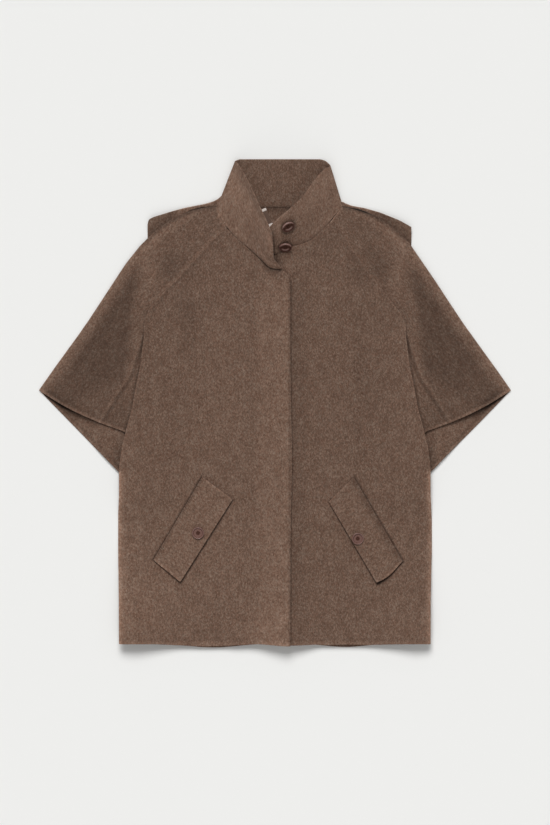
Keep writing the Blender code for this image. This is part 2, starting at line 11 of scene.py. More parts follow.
import bpy
import numpy as np
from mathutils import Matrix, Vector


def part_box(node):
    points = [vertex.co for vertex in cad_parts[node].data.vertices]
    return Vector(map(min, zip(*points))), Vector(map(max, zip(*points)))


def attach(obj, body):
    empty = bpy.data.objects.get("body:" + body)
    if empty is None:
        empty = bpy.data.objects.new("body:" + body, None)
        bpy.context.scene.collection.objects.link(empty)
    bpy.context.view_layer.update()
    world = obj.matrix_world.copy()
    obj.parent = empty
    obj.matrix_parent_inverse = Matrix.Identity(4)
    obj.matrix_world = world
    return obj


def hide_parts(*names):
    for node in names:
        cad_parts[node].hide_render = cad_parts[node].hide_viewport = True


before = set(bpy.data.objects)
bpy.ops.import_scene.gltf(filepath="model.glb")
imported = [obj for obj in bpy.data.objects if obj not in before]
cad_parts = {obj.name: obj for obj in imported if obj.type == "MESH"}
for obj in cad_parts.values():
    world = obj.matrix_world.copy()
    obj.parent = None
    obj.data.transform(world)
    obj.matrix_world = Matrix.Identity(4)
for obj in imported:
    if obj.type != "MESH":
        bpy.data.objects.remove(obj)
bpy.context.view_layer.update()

MM = 0.001
CLOTH = 2.0  # thickness of the double-faced wool
GAP = 0.3  # between pieces sewn edge to edge, and between layers that touch
NECK_GAP = 0.9  # at the neck seam, where the collar turns up
STEP = CLOTH + GAP  # from one layer's underside to the next
AIR = 0.7  # extra room where one layer is tucked over another
SIDES = {"right": -1, "left": 1}

# Sizes read from the frame
HALF_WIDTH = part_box("back")[1].x / MM + GAP / 2
CUFF_CORNER_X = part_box("sleeve_back_left")[1].x / MM
HEM_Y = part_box("left_front")[0].y / MM
NECK_BACK_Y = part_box("back")[1].y / MM
COLLAR_TOP_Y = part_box("collar")[1].y / MM
FRONT_EDGE_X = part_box("right_front")[1].x / MM
UNDERARM_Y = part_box("sleeve_back_left")[0].y / MM
FLAP_LOW_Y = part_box("storm_flap")[0].y / MM
CUFF_CORNER = (CUFF_CORNER_X, 20.5)  # where overarm and cuff meet

# The lay: how far the layers rise, and where
BODY_LOFT = 4.5
RISE_START = -4.0  # a layer starts to rise this far from a closed edge
RISE_WIDTH = 30.0  # and reaches its loft this far from it
ROLL = 2.4  # the top layer turns down this far at a closed edge
ROLL_WIDTH = 4.5
FOLD_ROLL = 1.8  # thick cloth stands up beside a fold
FOLD_ROLL_PLACE = (20.0, 16.0)  # how far inside the fold, and its reach
EDGE_LIFT = 1.7  # and it stands up at a free edge
EDGE_LIFT_EASE = {"armhole": (-10.0, -1.0), "opening": 4.0}  # where that starts
FOLD_INSET = 2.9  # of the front's edge over the sleeve's fold
FOLD_INSET_EASE = ((-75.0, -45.0), (105.0, 130.0))  # heights where it starts and ends
FLAP_EASE = (26.0, 106.0)  # the back leaves the storm flap's level between these distances
TUCK_EASE = (20.0, 60.0)  # the sleeve comes down outside the armhole
OVER_EASE = (-105.0, -55.0)  # the front comes down inside the tucked sleeve
TUCK_START_Y = (160.0, 205.0)  # the raglan seam opens into the tuck between these heights
TUCK_END_Y = (-200.0, -140.0)  # and the front comes down again below the underarm
OVERLAP_EASE = (-88.0, -54.0)  # the right front climbs onto the left one
HEM_EASE = (-190.0, -398.0)  # the hem waves start and reach their full height
RAGLAN_END_Y = 150.0
OPENING_BOW = (2.6, -90.0, 90.0)  # how far the opening's edge bows out, its middle, reach

# Seam lines as (distance from the centre line, height)
RAGLAN = {
    "right": ((79.4, 285.1), (110.2, 254.3), (152.3, 207.4), (189.5, 168.5), (204.0, 150.0)),
    "left": ((94.2, 298.6), (129.6, 243.0), (158.8, 200.9), (190.5, 161.0), (203.0, 145.0)),
}
BACK_RAGLAN = {
    "right": ((63.0, 317.5), (104.0, 264.0), (152.3, 207.4), (189.5, 168.5), (204.0, 150.0)),
    "left": ((74.0, 317.5), (116.0, 262.0), (158.8, 200.9), (190.5, 161.0), (203.0, 145.0)),
}
ARMHOLE = ((210.6, 129.0), (215.5, 100.4), (220.5, 61.6), (228.0, 25.0), (234.5, -10.0),
           (243.8, -45.0), (248.5, -75.0), (HALF_WIDTH, UNDERARM_Y))
SHOULDER = {  # start at the neck, control point of the curve, end
    "right": ((95.0, 317.2), (162.0, 316.8), (218.7, 252.7)),
    "left": ((109.2, 318.0), (165.9, 312.9), (217.1, 258.6)),
}
UNDERARM_SEAM = ((206.5, 126.0), (218.0, 90.7), (235.7, 38.9), (254.3, 11.0), (281.9, -32.6))
FRONT_CUFF = ((281.9, -32.6), (319.0, -16.2), (349.5, 0.2), CUFF_CORNER)
WRAP_CUFF = ((216.0, -108.0), (228.0, -72.0), (242.5, -47.6), (262.0, -39.6), (281.9, -32.6))
TUCK_DEPTH = (12.0, 37.5)
RIGHT_NECK = ((-79.4, 285.1), (-61.6, 266.5), (-40.5, 247.9), (-21.0, 230.0), (-7.1, 217.8),
              (9.7, 216.2), (19.5, 209.0), (FRONT_EDGE_X, 196.0))
LEFT_NECK = ((-FRONT_EDGE_X, 234.6), (-1.0, 239.6), (27.4, 253.8), (56.0, 263.4),
             (81.0, 285.6), (94.2, 298.6))
STORM_FLAP = {  # its upper edge, from the neck outwards
    "right": ((70.0, 318.0), (80.0, 331.0), (86.0, 335.4), (90.6, 331.4), (95.6, 328.0),
              (102.5, 325.2), (113.0, 322.2), (128.5, 319.0), (145.0, 315.7), (170.1, 308.9),
              (186.3, 303.9), (197.6, 300.2), (203.6, 296.6), (205.8, 289.5)),
    "left": ((78.0, 316.0), (100.0, 318.0), (108.0, 325.4), (114.5, 322.7), (124.6, 319.1),
             (135.0, 317.0), (145.6, 315.0), (156.2, 312.0), (170.9, 307.6), (185.5, 301.8),
             (200.2, 295.8), (214.4, 288.2), (220.3, 284.8)),
}

# Soft rises of the top layer off the one below
LOFTS = (
    # x, y, reach_x, reach_y, height
    (-305.0, -12.0, 95.0, 80.0, 1.0),
    (305.0, -12.0, 95.0, 80.0, 1.0),
    (-344.0, -2.0, 36.0, 44.0, 6.5),
    (344.0, -2.0, 36.0, 44.0, 6.5),
    (-270.0, -44.0, 52.0, 40.0, -3.4),
    (270.0, -44.0, 52.0, 40.0, -3.4),
    (10.0, 250.0, 120.0, 90.0, 3.0),
    (-120.0, 60.0, 90.0, 150.0, 1.2),
    (120.0, 40.0, 90.0, 160.0, 1.0),
)
# The hem: waves that lift both layers, and places where its line dips
HEM_WAVES = (
    # x, reach, height
    (-252.0, 124.0, 16.8),
    (17.0, 66.0, 11.6),
    (250.0, 112.0, 14.2),
)
HEM_DIPS = (
    # x, reach, length
    (-100.0, 86.0, 5.6),
    (114.0, 70.0, 4.8),
)
FRONT_HEM_DIPS = {
    "right": ((-112.0, 96.0, 3.6), (24.0, 56.0, 3.5)),
    "left": ((32.0, 44.0, 2.3), (84.0, 40.0, 1.2), (150.0, 70.0, 1.2)),
}

# The outline sways a little in and out of the cut's straight lines
SWAY_START = (  # y, distance from the centre line at which the sway starts
    (-120.0, 190.0), (-100.0, 225.0), (110.0, 225.0), (200.0, 160.0),
)
SWAY_REACH = 60.0  # it is full this far beyond
SWAY = {  # y, how far the outline moves out
    "right": ((-395.0, -1.5), (-320.0, -1.2), (-240.0, 0.0), (-180.0, 0.0), (-150.0, -1.2),
              (-95.0, -1.2), (0.0, -0.6), (60.0, -0.5), (110.0, -1.6), (134.0, -1.4),
              (168.0, 0.2), (207.0, 2.2), (226.0, 3.0), (250.0, 0.8), (262.0, 0.0)),
    "left": ((-395.0, -2.0), (-320.0, -1.8), (-240.0, 0.0), (-190.0, 0.0), (-150.0, -1.7),
             (-95.0, -2.2), (-30.0, -0.6), (50.0, -0.8), (91.0, -2.0), (130.0, -2.9),
             (168.0, -1.8), (196.0, -0.6), (262.0, 0.0)),
}

# Creases of the outer layer: each lies along a bow from one end over a middle to the other
CREASES = (
    # x0, y0, x1, y1, x2, y2, width, height
    (-196.0, 205.0, -219.0, 140.0, -226.0, 78.0, 9.0, 1.5),
    (194.0, 205.0, 216.0, 140.0, 224.0, 82.0, 9.0, 1.4),
    (-160.0, 236.0, -172.0, 222.0, -180.0, 204.0, 14.0, -1.6),
    (142.0, 246.0, 156.0, 228.0, 166.0, 206.0, 14.0, -1.6),
    (-236.0, 200.0, -262.0, 105.0, -326.0, 22.0, 26.0, -2.2),
    (234.0, 190.0, 262.0, 105.0, 324.0, 28.0, 26.0, -2.2),
    (-30.0, 130.0, -44.0, -40.0, -26.0, -210.0, 30.0, 0.8),
    (70.0, 180.0, 84.0, 20.0, 64.0, -120.0, 34.0, -0.8),
    (-120.0, -20.0, -150.0, -70.0, -210.0, -96.0, 26.0, 0.7),
    (132.0, 10.0, 160.0, -50.0, 214.0, -84.0, 26.0, 0.7),
    (-96.0, 190.0, -130.0, 120.0, -150.0, 60.0, 30.0, -0.7),
    (110.0, 170.0, 120.0, 96.0, 150.0, 30.0, 28.0, 0.6),
    (-170.0, -320.0, -150.0, -350.0, -156.0, -392.0, 20.0, -0.8),
    (90.0, -300.0, 104.0, -340.0, 100.0, -392.0, 24.0, -0.7),
)


# Curves in plan


def smoothstep(value, low, high):
    """0 at low, 1 at high, level at both ends: part squared times (3 less twice part)."""
    part = np.clip((value - low) / (high - low), 0.0, 1.0)
    return part * part * (3.0 - 2.0 * part)


def fading(value, low, high):
    """1 at low, 0 at high."""
    return 1.0 - smoothstep(value, low, high)


def through(points, steps=16):
    """A dense smooth curve through the points: a cubic between neighbours, whose slope at
    each point is that of the line between the points before and after it."""
    points = np.asarray(points, float)
    lengths = run_along(points)
    slopes = np.gradient(points, lengths, axis=0)
    span = np.repeat(np.arange(len(points) - 1), steps)
    part = np.tile(np.arange(steps) / steps, len(points) - 1)[:, None]
    run = np.diff(lengths)[span][:, None]
    a, b = points[span], points[span + 1]
    curve = (
        a * (1 - part) ** 2 * (1 + 2 * part)
        + b * part**2 * (3 - 2 * part)
        + slopes[span] * run * part * (1 - part) ** 2
        - slopes[span + 1] * run * part**2 * (1 - part)
    )
    return np.vstack([curve, points[-1:]])


def spaced(curve, count):
    """`count` points evenly spaced along a dense curve."""
    lengths = run_along(curve)
    places = np.linspace(0, lengths[-1], count)
    return np.stack([np.interp(places, lengths, column) for column in curve.T], axis=-1)


def at_heights(curve, heights):
    """The points of a falling curve at these heights."""
    return np.stack([np.interp(-heights, -curve[:, 1], curve[:, 0]), heights], axis=-1)


def moved_aside(curve, distance):
    """The curve moved to the left of its direction."""
    along = np.gradient(curve, axis=0)
    along /= np.linalg.norm(along, axis=1)[:, None]
    return curve + distance * np.stack([-along[:, 1], along[:, 0]], axis=-1)


def turned_by(degrees):
    """The matrix that turns plan points anticlockwise."""
    turn = math.radians(degrees)
    return np.array([[math.cos(turn), -math.sin(turn)], [math.sin(turn), math.cos(turn)]])


def mirrored(curve, side):
    """A curve given by distance from the centre line, on one side of the wearer."""
    return np.asarray(curve, float) * (SIDES[side], 1)


def run_along(points):
    """Length from the first point to each of the points."""
    return np.concatenate([[0], np.cumsum(np.linalg.norm(np.diff(points, axis=0), axis=1))])


def patch(first, last, start, end):
    """A grid that fills four edges: rows run from `first` to `last`, whose ends lie on
    `start` and `end`. It adds the two ruled fills and takes away the four corners' fill."""
    rows = np.linspace(0, 1, len(first))[:, None, None]
    columns = np.linspace(0, 1, len(start))[None, :, None]
    across = first[:, None] * (1 - columns) + last[:, None] * columns
    along = start[None] * (1 - rows) + end[None] * rows
    corners = (start[0] * (1 - columns) + start[-1] * columns) * (1 - rows) + (
        end[0] * (1 - columns) + end[-1] * columns
    ) * rows
    return across + along - corners


def bow(start, control, end, count):
    """A quadratic bow: start times (1 - part) squared, twice control times part times
    (1 - part), end times part squared."""
    part = np.linspace(0, 1, count)[:, None]
    start, control, end = np.asarray([start, control, end])
    return start * (1 - part) ** 2 + 2 * control * part * (1 - part) + end * part**2


SEAM_LINES = {side: through(RAGLAN[side] + ARMHOLE) for side in SIDES}
BACK_SEAM_LINES = {side: through(BACK_RAGLAN[side] + ARMHOLE) for side in SIDES}
SLEEVE_LINES = {side: through(RAGLAN[side] + UNDERARM_SEAM) for side in SIDES}


def overarm(side, count):
    """The sleeve's folded edge: a quadratic bow over the shoulder, then straight to the
    cuff's corner."""
    return spaced(np.vstack([bow(*SHOULDER[side], count=60), CUFF_CORNER]), count)


def from_curve(x, y, curve):
    """Signed distance from a curve, positive to the left of its direction, and the part of
    its length at which its nearest point lies."""
    flat = np.stack([np.ravel(x), np.ravel(y)], axis=-1)
    curve = np.asarray(curve, float)
    ways = np.diff(curve, axis=0)
    runs = run_along(curve)
    best, signed, part = (np.full(len(flat), value) for value in (np.inf, 0.0, 0.0))
    for start, way, run in zip(curve, ways, runs):
        length = max(way @ way, 1e-9)
        share = np.clip((flat - start) @ way / length, 0, 1)
        gap = flat - start - share[:, None] * way
        far = np.hypot(*gap.T)
        nearer = far < best
        turn = np.where(way[0] * gap[:, 1] - way[1] * gap[:, 0] < 0, -1, 1)
        best = np.where(nearer, far, best)
        signed = np.where(nearer, far * turn, signed)
        part = np.where(nearer, (run + share * math.sqrt(length)) / runs[-1], part)
    return signed.reshape(np.shape(x)), part.reshape(np.shape(x))


# The lay


def seam_distance(x, y):
    """How far outside the raglan and armhole line a place is, along X."""
    lines = [np.interp(-y, -SEAM_LINES[s][:, 1], SEAM_LINES[s][:, 0]) for s in SIDES]
    return np.abs(x) - np.where(x < 0, lines[0], lines[1])


UNDULATION = (
    # height, then two waves: parts of x and y, length, start
    (0.35, (1, 0, 47.0, 0.8), (0, 1, 71.0, -0.4)),
    (0.25, (1, 0.6, 33.0, 2.1), (-0.4, 1, 52.0, 0.0)),
    (0.12, (1, -1.3, 19.0, 0.0), (0.7, 1, 27.0, 1.0)),
)
CREASE_FADE = (0.04, 0.96, 28)  # the parts of a half circle along a crease, and how many
CLOSED_EDGES = [np.vstack([overarm(side, count=160), (HALF_WIDTH, UNDERARM_Y)]) for side in SIDES]


def edge_distance(x, y):
    """How far inside the edge where front and back meet a place is, along X: overarm,
    cuff line, side seam."""
    edges = [np.interp(-y, -edge[:, 1], edge[:, 0]) for edge in CLOSED_EDGES]
    return np.where(x < 0, edges[0], edges[1]) - np.abs(x)


def bowed_creases(x, y):
    """Sum of soft ridges and troughs: height times a bell of the distance from a bow, which
    fades out towards the bow's ends."""
    total = np.zeros(np.shape(x))
    fades = np.sin(math.pi * np.linspace(*CREASE_FADE))
    for x0, y0, x1, y1, x2, y2, width, height in CREASES:
        near = np.zeros(np.shape(x))
        for (px, py), fade in zip(bow((x0, y0), (x1, y1), (x2, y2), len(fades)), fades):
            bell = np.exp(-((x - px) ** 2 + (y - py) ** 2) / width**2)
            near = np.maximum(near, bell * fade)
        total = total + height * near
    return total


def undulation(x, y):
    """Broad shallow waves of thick cloth: products of two sines at unlike lengths and
    turns."""
    total = np.zeros(np.shape(x))
    for height, *waves in UNDULATION:
        for along_x, along_y, length, start in waves:
            height = height * np.sin((along_x * x + along_y * y) / length + start)
        total = total + height
    return total


def loft(x, y):
    """How far the front layer rises off the back one: nothing at the closed edges."""
    rise = np.full(np.shape(x), BODY_LOFT)
    for centre_x, centre_y, reach_x, reach_y, height in LOFTS:
        far = np.hypot((x - centre_x) / reach_x, (y - centre_y) / reach_y)
        rise = rise + height * fading(far, 0, 1)
    rise = rise + bowed_creases(x, y) + undulation(x, y)
    inside = edge_distance(x, y)
    place, reach = FOLD_ROLL_PLACE
    roll = FOLD_ROLL * np.exp(-(((inside - place) / reach) ** 2))
    roll = roll * smoothstep(seam_distance(x, y), *TUCK_EASE)
    return (rise + roll) * smoothstep(inside, RISE_START, RISE_WIDTH)


def rolled_edge(x, y):
    """The top layer turns down round a closed edge, in a quarter of a circle."""
    part = np.clip(1 - edge_distance(x, y) / ROLL_WIDTH, 0, 1)
    return -ROLL * (1 - np.sqrt(1 - part**2))


def hem_lift(x, y):
    """Waves of the hem, both layers together."""
    lift = sum(
        height * fading(np.abs(x - centre), 0, reach)
        for centre, reach, height in HEM_WAVES
    )
    return lift * smoothstep(-y, -HEM_EASE[0], -HEM_EASE[1])


def back_under(x, y):
    """Underside of the back: on the table, or on the storm flap and past its edges."""
    half = np.where(x < 0, STORM_FLAP["right"][-1][0], STORM_FLAP["left"][-1][0])
    on_flap = fading(np.abs(x) - half, *FLAP_EASE)
    on_flap = on_flap * fading(FLAP_LOW_Y - y, *FLAP_EASE)
    return STEP * on_flap + hem_lift(x, y)


def opening(y):
    """1 where the sleeve is tucked into the armhole, 0 where the raglan seam is flat."""
    return fading(y, *TUCK_START_Y)


def sleeve_back_under(x, y):
    """Underside of the sleeve's back: the back's, and one layer up where it is tucked."""
    tucked = opening(y) * fading(seam_distance(x, y), *TUCK_EASE)
    return back_under(x, y) + (STEP + AIR) * tucked


def sleeve_front_under(x, y):
    """Underside of the sleeve's front: a layer and the loft up, down again at the fold."""
    return sleeve_back_under(x, y) + STEP + loft(x, y) + rolled_edge(x, y)


def wrap_under(x, y):
    """Underside of the part of the sleeve's back that comes round to the front."""
    return sleeve_back_under(x, y) + STEP + loft(x, y)


def left_front_under(x, y):
    """Underside of the left front: a layer and the loft up, two more over the tucked
    sleeve, raised at the free armhole edge and turned down at the closed side."""
    over = opening(y) * smoothstep(y, *TUCK_END_Y) * smoothstep(seam_distance(x, y), *OVER_EASE)
    lay = back_under(x, y) + STEP + loft(x, y) + 2 * (STEP + AIR) * over
    lift = EDGE_LIFT * over * smoothstep(seam_distance(x, y), *EDGE_LIFT_EASE["armhole"])
    return lay + lift + rolled_edge(x, y) * (1 - over)


def right_front_under(x, y):
    """Underside of the right front: the same, a layer up over the left front."""
    overlap = (STEP + AIR) * smoothstep(x, *OVERLAP_EASE)
    lift = EDGE_LIFT * smoothstep(x, EDGE_LIFT_EASE["opening"], FRONT_EDGE_X)
    return left_front_under(x, y) + overlap + lift


FRONT_UNDERS = {"right": right_front_under, "left": left_front_under}


# Shells


def swayed(points):
    """Every layer moved sideways a little, by a table of the height on the page, from
    nothing well inside the outline to all of it at the outline."""
    out, y = np.abs(points[:, 0]), points[:, 1]
    start = beside(y, SWAY_START)
    for side in SIDES:
        there = points[:, 0] * SIDES[side] > 0
        sway = beside(y, SWAY[side]) * smoothstep(out, start, start + SWAY_REACH)
        points[:, 0] += SIDES[side] * np.where(there, sway, 0)
    return points


def turned(grid, up):
    """The grid with its columns ordered so that its faces turn up, or down."""
    middle = grid[len(grid) // 2 :, grid.shape[1] // 2 :]
    a, b = middle[1, 0] - middle[0, 0], middle[0, 1] - middle[0, 0]
    return grid if (a[0] * b[1] - a[1] * b[0] > 0) == up else grid[:, ::-1]


def laid(plan, underside, way=1, thickness=CLOTH):
    """The middle surface of a piece that lies flat, from its plan and its underside."""
    x, y = plan[..., 0], plan[..., 1]
    heights = underside(x, y) if callable(underside) else underside
    return turned(np.dstack([x, y, heights + thickness / 2 + 0 * x]), way > 0)


def summed(count, index, values):
    """The values added up at their indices."""
    return np.stack(
        [np.bincount(index, weights=column, minlength=count) for column in values.T], axis=-1
    )


def unit(vectors):
    """The vectors at length one."""
    return vectors / np.maximum(np.linalg.norm(vectors, axis=-1), 1e-9)[..., None]


# Each rim gets a painted highlight, and the face next to it part of that
RIM_FACE = 0.7  # how much of the rim's tone the face has at its very edge


def shell(name, grids, look, thickness=CLOTH, tone_and_painted_light=None, inner_tone_and_painted_light=0.9, grain=0.0, flat=None,
          bulge=0.7, rings=4):
    """A closed shell round a middle surface. Its outer side is the middle surface moved out
    along its normals by half the thickness, its inner side moved in by as much, and each
    open edge gets a rim: half the thickness times (cosine along the normal plus sine, times
    the bulge, along the way out), from the outer side round to the inner one."""
    flat = [grid[..., :2] for grid in grids] if flat is None else flat
    points, plans, triangles, start = [], [], [], 0
    for grid, plan in zip(grids, flat):
        rows, columns = grid.shape[:2]
        index = np.arange(rows * columns).reshape(rows, columns) + start
        a, b, c, d = index[:-1, :-1], index[1:, :-1], index[1:, 1:], index[:-1, 1:]
        halves = [(a, b, c), (a, c, d)]
        triangles += [np.stack([part.ravel() for part in half], axis=-1) for half in halves]
        points.append(grid.reshape(-1, 3))
        plans.append(plan.reshape(-1, 2))
        start += rows * columns
    points, plans = np.concatenate(points), np.concatenate(plans)
    # Points of two grids that meet become one
    _, first, shared = np.unique(
        np.round(points, 3), axis=0, return_index=True, return_inverse=True
    )
    points, plans = points[first], plans[first]
    triangles = shared.reshape(-1)[np.concatenate(triangles)]
    a, b, c = triangles.T
    triangles = triangles[(a != b) & (b != c) & (c != a)]
    count = len(points)
    a, b, c = (points[corner] for corner in triangles.T)
    normals = unit(summed(count, triangles.ravel(), np.repeat(np.cross(b - a, c - a), 3, axis=0)))

    edges = np.concatenate([triangles[:, [0, 1]], triangles[:, [1, 2]], triangles[:, [2, 0]]])
    codes, back = edges @ (count, 1), edges @ (1, count)
    open_edges = edges[~np.isin(codes, back)]
    tail, head = open_edges.T
    ways = unit(np.cross(points[head] - points[tail], normals[tail] + normals[head]))
    ways = unit(summed(count, open_edges.ravel(), np.repeat(ways, 2, axis=0)))
    rim = np.unique(open_edges)
    place = np.zeros(count, int)
    place[rim] = np.arange(len(rim))
    half = thickness / 2
    layers = [points + normals * half, points - normals * half]
    for angle in np.linspace(0, math.pi, rings + 2)[1:-1]:
        layers.append(
            points[rim]
            + half * math.cos(angle) * normals[rim]
            + half * bulge * math.sin(angle) * ways[rim]
        )
    faces = [triangles, triangles[:, ::-1] + count]
    ring_starts = [2 * count + ring * len(rim) for ring in range(rings)]
    loops = [(tail, head)] + [(place[tail] + s, place[head] + s) for s in ring_starts]
    loops.append((tail + count, head + count))
    for (tail_a, head_a), (tail_b, head_b) in zip(loops, loops[1:]):
        faces.append(np.stack([head_a, tail_a, tail_b], axis=-1))
        faces.append(np.stack([head_a, tail_b, head_b], axis=-1))

    vertices, faces = np.vstack(layers), np.concatenate(faces)
    # The tone and painted light given to each point: on the outer side, the inner side and the
    # rims
    shade = np.ones(count) if tone_and_painted_light is None else tone_and_painted_light(points, plans)
    inner = inner_tone_and_painted_light(points, plans) if callable(inner_tone_and_painted_light) else shade * inner_tone_and_painted_light
    shades = np.concatenate([shade, inner] + [(inner if tone_and_painted_light is None else shade)[rim]] * rings)
    # The painted highlight: full on the rims, part of it on the face at each open edge
    edge = np.zeros(count)
    edge[rim] = RIM_FACE
    rims = np.concatenate([edge, 0 * edge, np.ones(rings * len(rim))])
    cloth = np.vstack([plans, plans] + [plans[rim]] * rings) * MM
    values = {"tone_and_painted_light": shades, "rim": rims}
    return add_piece(name, swayed(vertices), faces, look, cloth @ turned_by(grain), values)


def add_piece(name, vertices, faces, look, cloth=None, values=None):
    """A smooth mesh piece from points in millimetres, with its flat cloth coordinates in
    metres as its UV map and values per point as attributes."""
    mesh = bpy.data.meshes.new(name)
    mesh.from_pydata(np.asarray(vertices) * MM, [], np.asarray(faces))
    mesh.polygons.foreach_set("use_smooth", np.ones(len(mesh.polygons), bool))
    if cloth is not None:
        corner = np.empty(len(mesh.loops), np.int32)
        mesh.loops.foreach_get("vertex_index", corner)
        layer = mesh.uv_layers.new(name="UVMap")
        layer.data.foreach_set("uv", cloth[corner].astype(np.float32).ravel())
    for title, column in (values or {}).items():
        stored = mesh.attributes.new(title, "FLOAT", "POINT")
        stored.data.foreach_set("value", np.asarray(column, np.float32))
    mesh.materials.append(look)
    mesh.update()
    made = bpy.data.objects.new(name, mesh)
    bpy.context.scene.collection.objects.link(made)
    return made


def dressed(piece, node):
    """The piece rides on the garment and stands for its solid, which it hides."""
    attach(piece, "root")
    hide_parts(node)
    return piece


# Tone and painted light, as a factor on the cloth's colour: painted shade in creases, seams
# and gaps, painted shadows beside raised edges and flaps, and painted highlights along folds and
# edges


def soft_spots(x, y, spots):
    """Sum of soft oval spots, each a value that fades from its centre as a bell."""
    total = np.zeros(np.shape(x))
    for centre_x, centre_y, reach_x, reach_y, turn, value in spots:
        along, across = turned_by(turn).T @ (x - centre_x, y - centre_y)
        total = total + value * np.exp(-((along / reach_x) ** 2) - (across / reach_y) ** 2)
    return total


def beside(distance, table):
    """A value that depends on the distance to a line, from a table of (distance, value)."""
    return np.interp(distance, *np.transpose(table))


# Spots of painted light and shade on the body
BODY_SPOTS = (
    # x, y, reach_x, reach_y, turn, value
    (-141.0, 150.0, 16.0, 60.0, 8.0, -0.12),
    (-134.0, 226.0, 44.0, 22.0, -45.0, -0.1),
    (-190.0, 60.0, 60.0, 120.0, 0.0, -0.05),
    (-95.0, 20.0, 60.0, 120.0, 0.0, 0.04),
    (-120.0, -240.0, 110.0, 90.0, 0.0, 0.1),
    (-215.0, -340.0, 60.0, 70.0, 0.0, 0.17),
    (-250.0, -200.0, 26.0, 260.0, 0.0, 0.1),
    (-100.0, 262.0, 30.0, 20.0, -45.0, -0.06),
    (84.0, 262.0, 44.0, 22.0, 40.0, -0.15),
    (140.0, 212.0, 26.0, 40.0, 30.0, -0.12),
    (138.0, 60.0, 18.0, 190.0, 0.0, -0.09),
    (90.0, 0.0, 90.0, 300.0, 0.0, -0.03),
    (215.0, 0.0, 30.0, 80.0, 0.0, 0.02),
    (-12.0, -370.0, 50.0, 50.0, 0.0, 0.19),
    (-162.0, 165.0, 36.0, 44.0, 0.0, -0.07),
    (180.0, 150.0, 24.0, 30.0, 0.0, -0.07),
    (180.0, 0.0, 26.0, 80.0, 0.0, -0.07),
    (225.0, -370.0, 50.0, 40.0, 0.0, 0.06),
)
# Tables of the distance to a line and how much lighter the cloth is painted there, below
# nothing for painted shade: painted highlights along the side folds, the hem's edge and the
# placket's strip, painted shade beside the opening and the raglan, and painted shadow under
# the collar's tip, beside the collar's seam and past the pocket flaps' edges
SIDE_FOLD = ((0.0, 0.8), (2.6, 0.6), (5.0, 0.26), (9.0, 0.08), (16.0, 0.0))
HEM_EDGE = ((0.0, 0.2), (2.4, 0.16), (4.6, 0.0), (7.0, -0.07), (10.0, 0.0))
OPENING_SIDE = ((-2.0, -0.5), (1.2, -0.42), (2.6, -0.2), (8.0, -0.14), (18.0, -0.1), (34.0, 0.0))
PLACKET = ((-37.0, 0.0), (-22.0, 0.13), (14.0, 0.2), (21.2, 0.17), (22.6, -0.1))  # by x
RAGLAN_BODY = ((0.0, 0.02), (1.0, -0.02), (2.4, -0.14), (4.2, -0.14), (6.4, -0.02), (9.0, 0.0))
TIP_SHADE = ((0.0, -0.78), (2.4, -0.76), (4.2, -0.36), (7.0, -0.2), (15.0, 0.0))
SEAM_SHADE = ((0.0, -0.2), (1.0, -0.14), (2.6, -0.04), (12.0, -0.04), (22.0, 0.0))
FLAP_SHADE = {
    # how dark the painted shadow on the front is past a flap's sewn side, foot, free side and
    # top, and how far
    "right": ((0.55, 2.6), (0.64, 1.6), (0.5, 2.6), (0.05, 7.0)),
    "left": ((0.46, 3.0), (0.82, 2.5), (0.34, 1.9), (0.06, 2.0)),
}
FLAP_SHADE_EASE = (-0.2, 2.0)
# Heights, or places along x, between which such a line comes or goes
SIDE_FOLD_END = (-80, -55)
RAGLAN_START = (150, 170)
PLACKET_END = (185, 212)
TIP_SPAN = ((-34, -14), (9, 14))
SEAM_SHADE_END = (272, 284)
OPENING_END = (190, 206)
RAGLAN_SLANT = 0.75  # the distance across the raglan, as a part of that along x
BODY_RAGLAN = {"right": 1.0, "left": 0.35}  # how strong that line is on the body
# A spot of painted shade in the recess at the collar's end
RECESS = ((2.0, 224.0, 9.0, 16.0, 0.0, -0.3),)  # a spot at the collar's end


def body_painted_light(points, side):
    """Painted light and shade: spots, a painted highlight at the side folds and along the hem's
    edge, painted shade beside the raglan and painted shadow round the pocket's flap."""
    x, y, _ = points.T
    total = 1 + soft_spots(x, y, BODY_SPOTS)
    total = total + beside(edge_distance(x, y), SIDE_FOLD) * fading(y, *SIDE_FOLD_END)
    total = total + beside(y - HEM_Y, HEM_EDGE)
    raglan = beside(np.abs(seam_distance(x, y)) * RAGLAN_SLANT, RAGLAN_BODY)
    total = total + BODY_RAGLAN[side] * raglan * smoothstep(y, *RAGLAN_START)
    outside = flap_sides(side, x, y)
    depth, reach = np.array(FLAP_SHADE[side])[outside.argmax(axis=0)].T
    inner, outer = FLAP_SHADE_EASE
    return total * (1 - depth * fading(outside.max(axis=0), reach + inner, reach + outer))


COLLAR_SIDE = {"right": (5, 8), "left": (14, 17)}  # rows of COLLAR
COLLAR_GLOW = ((0.0, 0.4), (3.2, 0.32), (5.2, 0.0))
COLLAR_GLOW_START = (282, 298)


def from_seam(x, y, first, last):
    """Distance from the collar's seam between two rows of COLLAR."""
    return np.abs(from_curve(x, y, [row[:2] for row in COLLAR[first:last]])[0])


def beside_collar(x, y, side):
    """The cloth is painted lighter right beside the collar's sides, which lie close on it,
    against the shade of the gap there.
    """
    seam = from_seam(x, y, *COLLAR_SIDE[side])
    return beside(seam, COLLAR_GLOW) * smoothstep(y, *COLLAR_GLOW_START)


